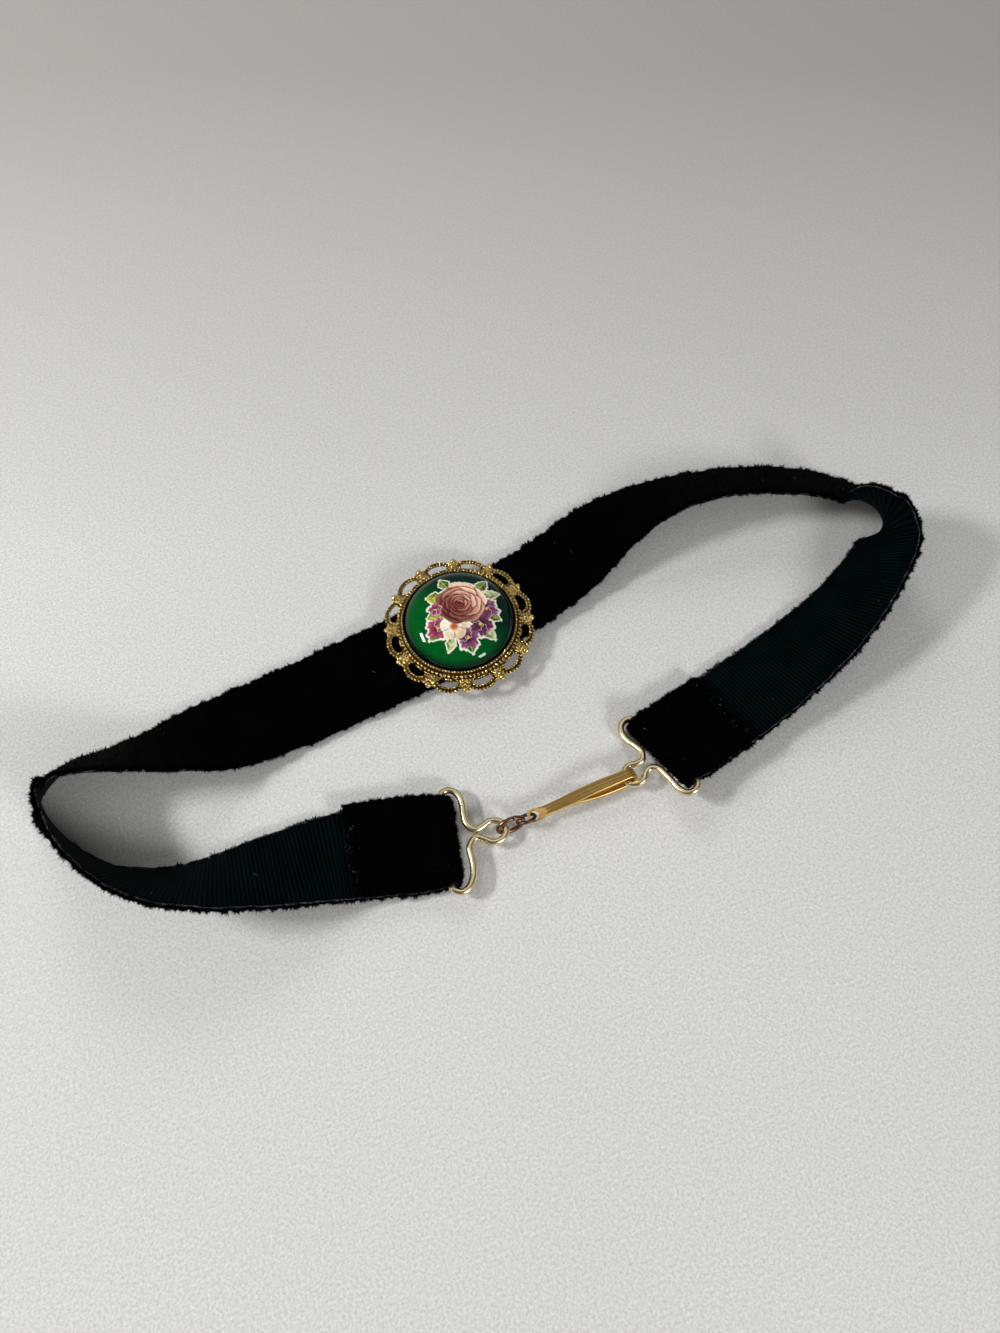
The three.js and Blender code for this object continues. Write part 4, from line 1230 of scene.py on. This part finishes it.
# the bouquet, from its lowest layer up
greenLeaf, yellowLeaf = ((44, 78, 34), (142, 166, 72)), ((98, 112, 24), (206, 208, 84))
paleLeaf = ((112, 128, 76), (222, 226, 178))
mauve, plum = ((70, 26, 56), (176, 104, 146)), ((52, 16, 38), (140, 66, 104))
magenta = ((104, 20, 54), (208, 92, 130))
bouquet = [
    ("leaf", 3.2, 4.2, 58, 3.0, 0.95, *greenLeaf), ("leaf", 4.4, 3.2, 22, 2.9, 0.8, *paleLeaf),
    ("leaf", -2.2, 4.8, 122, 2.4, 0.9, *greenLeaf), ("leaf", -3.2, 2.6, 176, 2.6, 1.15, *yellowLeaf),
    ("leaf", -2.6, -0.4, 200, 3.0, 1.15, *yellowLeaf), ("leaf", -3.0, -3.8, 218, 2.5, 0.85, *greenLeaf),
    ("leaf", -0.9, -5.2, 254, 2.3, 0.75, *paleLeaf), ("leaf", 1.9, -5.4, 290, 2.3, 0.85, *greenLeaf),
    ("leaf", 4.6, -3.2, 320, 2.5, 0.85, *paleLeaf), ("leaf", 5.4, -0.6, 346, 2.1, 0.75, *greenLeaf),
    ("pansy", 5.0, 0.6, 1.95, 60, *mauve), ("pansy", 3.9, -2.5, 2.1, 0, *plum),
    ("pansy", 1.8, -5.0, 1.9, 245, *mauve), ("pansy", -3.5, -3.3, 1.9, 150, *magenta),
    ("blossom", -0.7, -3.1, 2.5), ("rose", 0.5, 1.7, 4.3), ("pansy", -4.1, 0.2, 1.2, 30, *magenta),
]


def paintBouquetAndLight(x, y):
    shapes = {"leaf": leafShape, "rose": roseShape, "pansy": pansyShape, "blossom": blossomShape}
    r = np.hypot(x, y)
    # painted light: the green ground is painted lighter towards the lower left as a pool of light, and darker
    # towards the upper right
    tone = blend(linear(0, 88, 30), linear(3, 40, 30), smoothStep((x * 0.55 + y * 0.85 + 3.4) / 7.5))
    # painted shade: the green darkens towards the rim, and the outer quarter millimetre is painted nearly
    # black as the shadow in the gap under the bezel
    tone = blend(tone, linear(3, 34, 24), smoothStep((r - 8.4) / 1.2) * 0.8)
    tone = blend(tone, linear(2, 8, 7), smoothStep((r - 9.45) / 0.25))
    drawn = [shapes[name](x, y, *values) for name, *values in bouquet]
    nearestEdge = np.min([far for far, _ in drawn], axis=0)
    ragged = 0.06 * np.sin(x * 7.1 + 1.0) * np.sin(y * 6.3)
    tone = blend(tone, linear(240, 240, 220), smoothStep((0.34 + ragged - nearestEdge) / 0.1))
    for far, colours in drawn:
        tone = blend(tone, linear(40, 22, 20), 0.65 * smoothStep(1 - far / 0.2) * (nearestEdge < 0))
        tone = blend(tone, colours, smoothStep(-far / 0.08 + 0.5))
    return tone


def cabochonMaterial():
    material, nodes, shader = newMaterial("glossyStone", **{
        "Roughness": 0.05, "IOR": 1.47, "Specular IOR Level": 0.24})
    # the painted colour: the bouquet's print, with painted light and shade on the green ground
    painted = nodes.add("ShaderNodeAttribute", attribute_name="bouquet")
    fleck = nodes.spread(nodes.noise(2200.0, 3.0, objectPlace(nodes)), 0.3, 0.7, 0.8, 1.12)
    shade = nodes.add("ShaderNodeVectorMath", {0: painted.outputs["Color"]}, operation="SCALE")
    nodes.link(fleck, shade.inputs["Scale"])
    nodes.link(shade.outputs[0], shader.inputs["Base Color"])
    return material


def makeCabochon():
    n = cabochon["grid"]
    line = np.linspace(-1, 1, n + 1)
    a, b = np.meshgrid(line, line, indexing="ij")
    big = np.where(np.abs(a) > np.abs(b), a, b)
    small = np.where(np.abs(a) > np.abs(b), b, a)
    angle = np.where(np.abs(a) > np.abs(b), np.pi / 4 * small / np.where(big == 0, 1, big),
                     np.pi / 2 - np.pi / 4 * small / np.where(big == 0, 1, big))
    t = np.abs(big)
    r = 0.5 * t + 0.5 * np.sin(t * np.pi / 2)
    sign = np.where(big < 0, -1, 1)
    x = cabochon["radius"] * r * np.cos(angle) * sign
    y = cabochon["radius"] * r * np.sin(angle) * sign
    foot = cabochon["base"] + cabochon["edge"]
    z = foot + cabochon["rise"] * np.sqrt(np.maximum(1 - r ** 2, 0)) ** 0.96
    top = np.stack((x, y, z), -1).reshape(-1, 3)
    faces = gridFaces(n + 1, n + 1).tolist()
    rim = [(i, 0) for i in range(n)] + [(n, j) for j in range(n)] + [(n - i, n) for i in range(n)] + [
        (0, n - j) for j in range(n)]
    rim = [i * (n + 1) + j for i, j in rim]
    lower = top[rim] * (1, 1, 0) + (0, 0, cabochon["base"])
    start = len(top)
    verts = np.vstack((top, lower, (0, 0, cabochon["base"])))
    count = len(rim)
    for i in range(count):
        k = (i + 1) % count
        faces.append([rim[i], start + i, start + k, rim[k]])
        faces.append([start + i, start + count, start + k])
    turn = math.radians(cabochon["pictureTurn"])
    right = verts[:, 0] * math.cos(turn) - verts[:, 1] * math.sin(turn)
    above = verts[:, 0] * math.sin(turn) + verts[:, 1] * math.cos(turn)
    colours = np.ones((len(verts), 4), np.float32)
    colours[:, :3] = paintBouquetAndLight(right, above)
    verts = verts + (broochMiddle[0], broochMiddle[1], 0)
    piece = makePiece("cabochon_dome", outward((verts, faces)), [cabochonMaterial()])
    # the bouquet attribute holds the print together with the painted light and shade on the green ground
    attribute = piece.data.color_attributes.new("bouquet", "FLOAT_COLOR", "POINT")
    attribute.data.foreach_set("color", colours.ravel())
    finishPiece(piece, ["cabochon"])


makeCabochon()
print("cabochon ready")

# The bar behind the brooch stays as the part's source has it
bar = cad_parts["brooch_back_bar"]
bar.data.materials.clear()
bar.data.materials.append(brass)

# lights: from is right, ahead and up in the picture
studio = {
    "floorSize": 2.4,
    "key": {"from": (-0.77, -0.06, 0.63), "distance": 0.55, "size": (0.12, 0.06), "power": 1.75},
    "front": {"from": (0.57, -0.65, 0.50), "distance": 0.6, "size": (0.12, 0.12), "power": 1.5},
    "back": {"from": (-0.25, 0.75, 0.62), "distance": 0.8, "size": (0.3, 0.3), "power": 1.4},
    "overhead": {"from": (-0.15, -0.45, 0.85), "distance": 0.42, "size": (0.5, 0.5), "power": 0.45},
    # the card lights nothing, and only gives the metal something to reflect
    "card": {"from": (0.0, 0.42, 0.9), "distance": 0.5, "size": (0.55, 0.45), "power": 0.5},
    "horizon": 0.22,  # the surroundings' strength, low down and overhead
    "zenith": 0.05,
}


def floorMaterial():
    material, nodes, shader = newMaterial("paleSurface", **{"Roughness": 0.85, "Specular IOR Level": 0.2})
    place = objectPlace(nodes)
    cloud = nodes.spread(nodes.noise(9.0, 4.0, place), 0.3, 0.7)
    speck = nodes.spread(nodes.noise(2300.0, 2.0, place, 0.7), 0.32, 0.68)
    tone = nodes.mix(cloud, (0.75, 0.745, 0.725), (0.81, 0.805, 0.79))
    soft = nodes.mix(speck, tone, (0.56, 0.56, 0.55))
    # painted shade: the floor is painted darker the further it lies ahead of the camera, standing in for the
    # light falling off away from the lamps
    turn = math.radians(camera["turn"])
    ahead = nodes.add("ShaderNodeVectorMath", {0: place, 1: (math.sin(turn), math.cos(turn), 0)},
                      operation="DOT_PRODUCT")
    far = nodes.spread(ahead.outputs["Value"], 0.03, 0.17)
    colour(nodes, shader, far, soft, (0.47, 0.46, 0.435))
    relieve(nodes, shader, 0.5, 0.0002, nodes.noise(1100.0, 4.0, place))
    return material


def makeStudio():
    half = studio["floorSize"] / 2 / mm
    verts = [(-half, -half, 0), (half, -half, 0), (half, half, 0), (-half, half, 0)]
    floor = makePiece("floor", (verts, [[0, 1, 2, 3]]), [floorMaterial()], False)
    turn = math.radians(camera["turn"])
    right = Vector((math.cos(turn), -math.sin(turn), 0))
    ahead = Vector((math.sin(turn), math.cos(turn), 0))
    for name in ("key", "front", "back", "overhead", "card"):
        lamp = studio[name]
        data = bpy.data.lights.new(name, "AREA")
        data.shape = "RECTANGLE"
        data.size, data.size_y = lamp["size"]
        data.energy = lamp["power"]
        light = newObject(name, data)
        light.visible_glossy = name in ("key", "front", "card")
        light.visible_diffuse = name != "card"
        x, y, z = lamp["from"]
        way = (right * x + ahead * y + Vector((0, 0, z))).normalized()
        light.location = aimPoint + way * lamp["distance"]
        light.rotation_mode = "QUATERNION"
        light.rotation_quaternion = (-way).to_track_quat("-Z", "Y")
    world = bpy.data.worlds.new("softRoom")
    bpy.context.scene.world = world
    world.use_nodes = True
    sky = world.node_tree.nodes["Background"]
    sky.inputs["Color"].default_value = (1.0, 0.98, 0.94, 1)
    nodes = Nodes(world.node_tree)
    way = nodes.add("ShaderNodeSeparateXYZ", {0: nodes.add("ShaderNodeTexCoord").outputs["Generated"]})
    strength = nodes.spread(way.outputs[2], 0.1, 0.75, studio["horizon"], studio["zenith"])
    nodes.link(strength, sky.inputs["Strength"])
    bpy.context.scene.view_settings.view_transform = "Standard"


makeStudio()
print("studio ready")
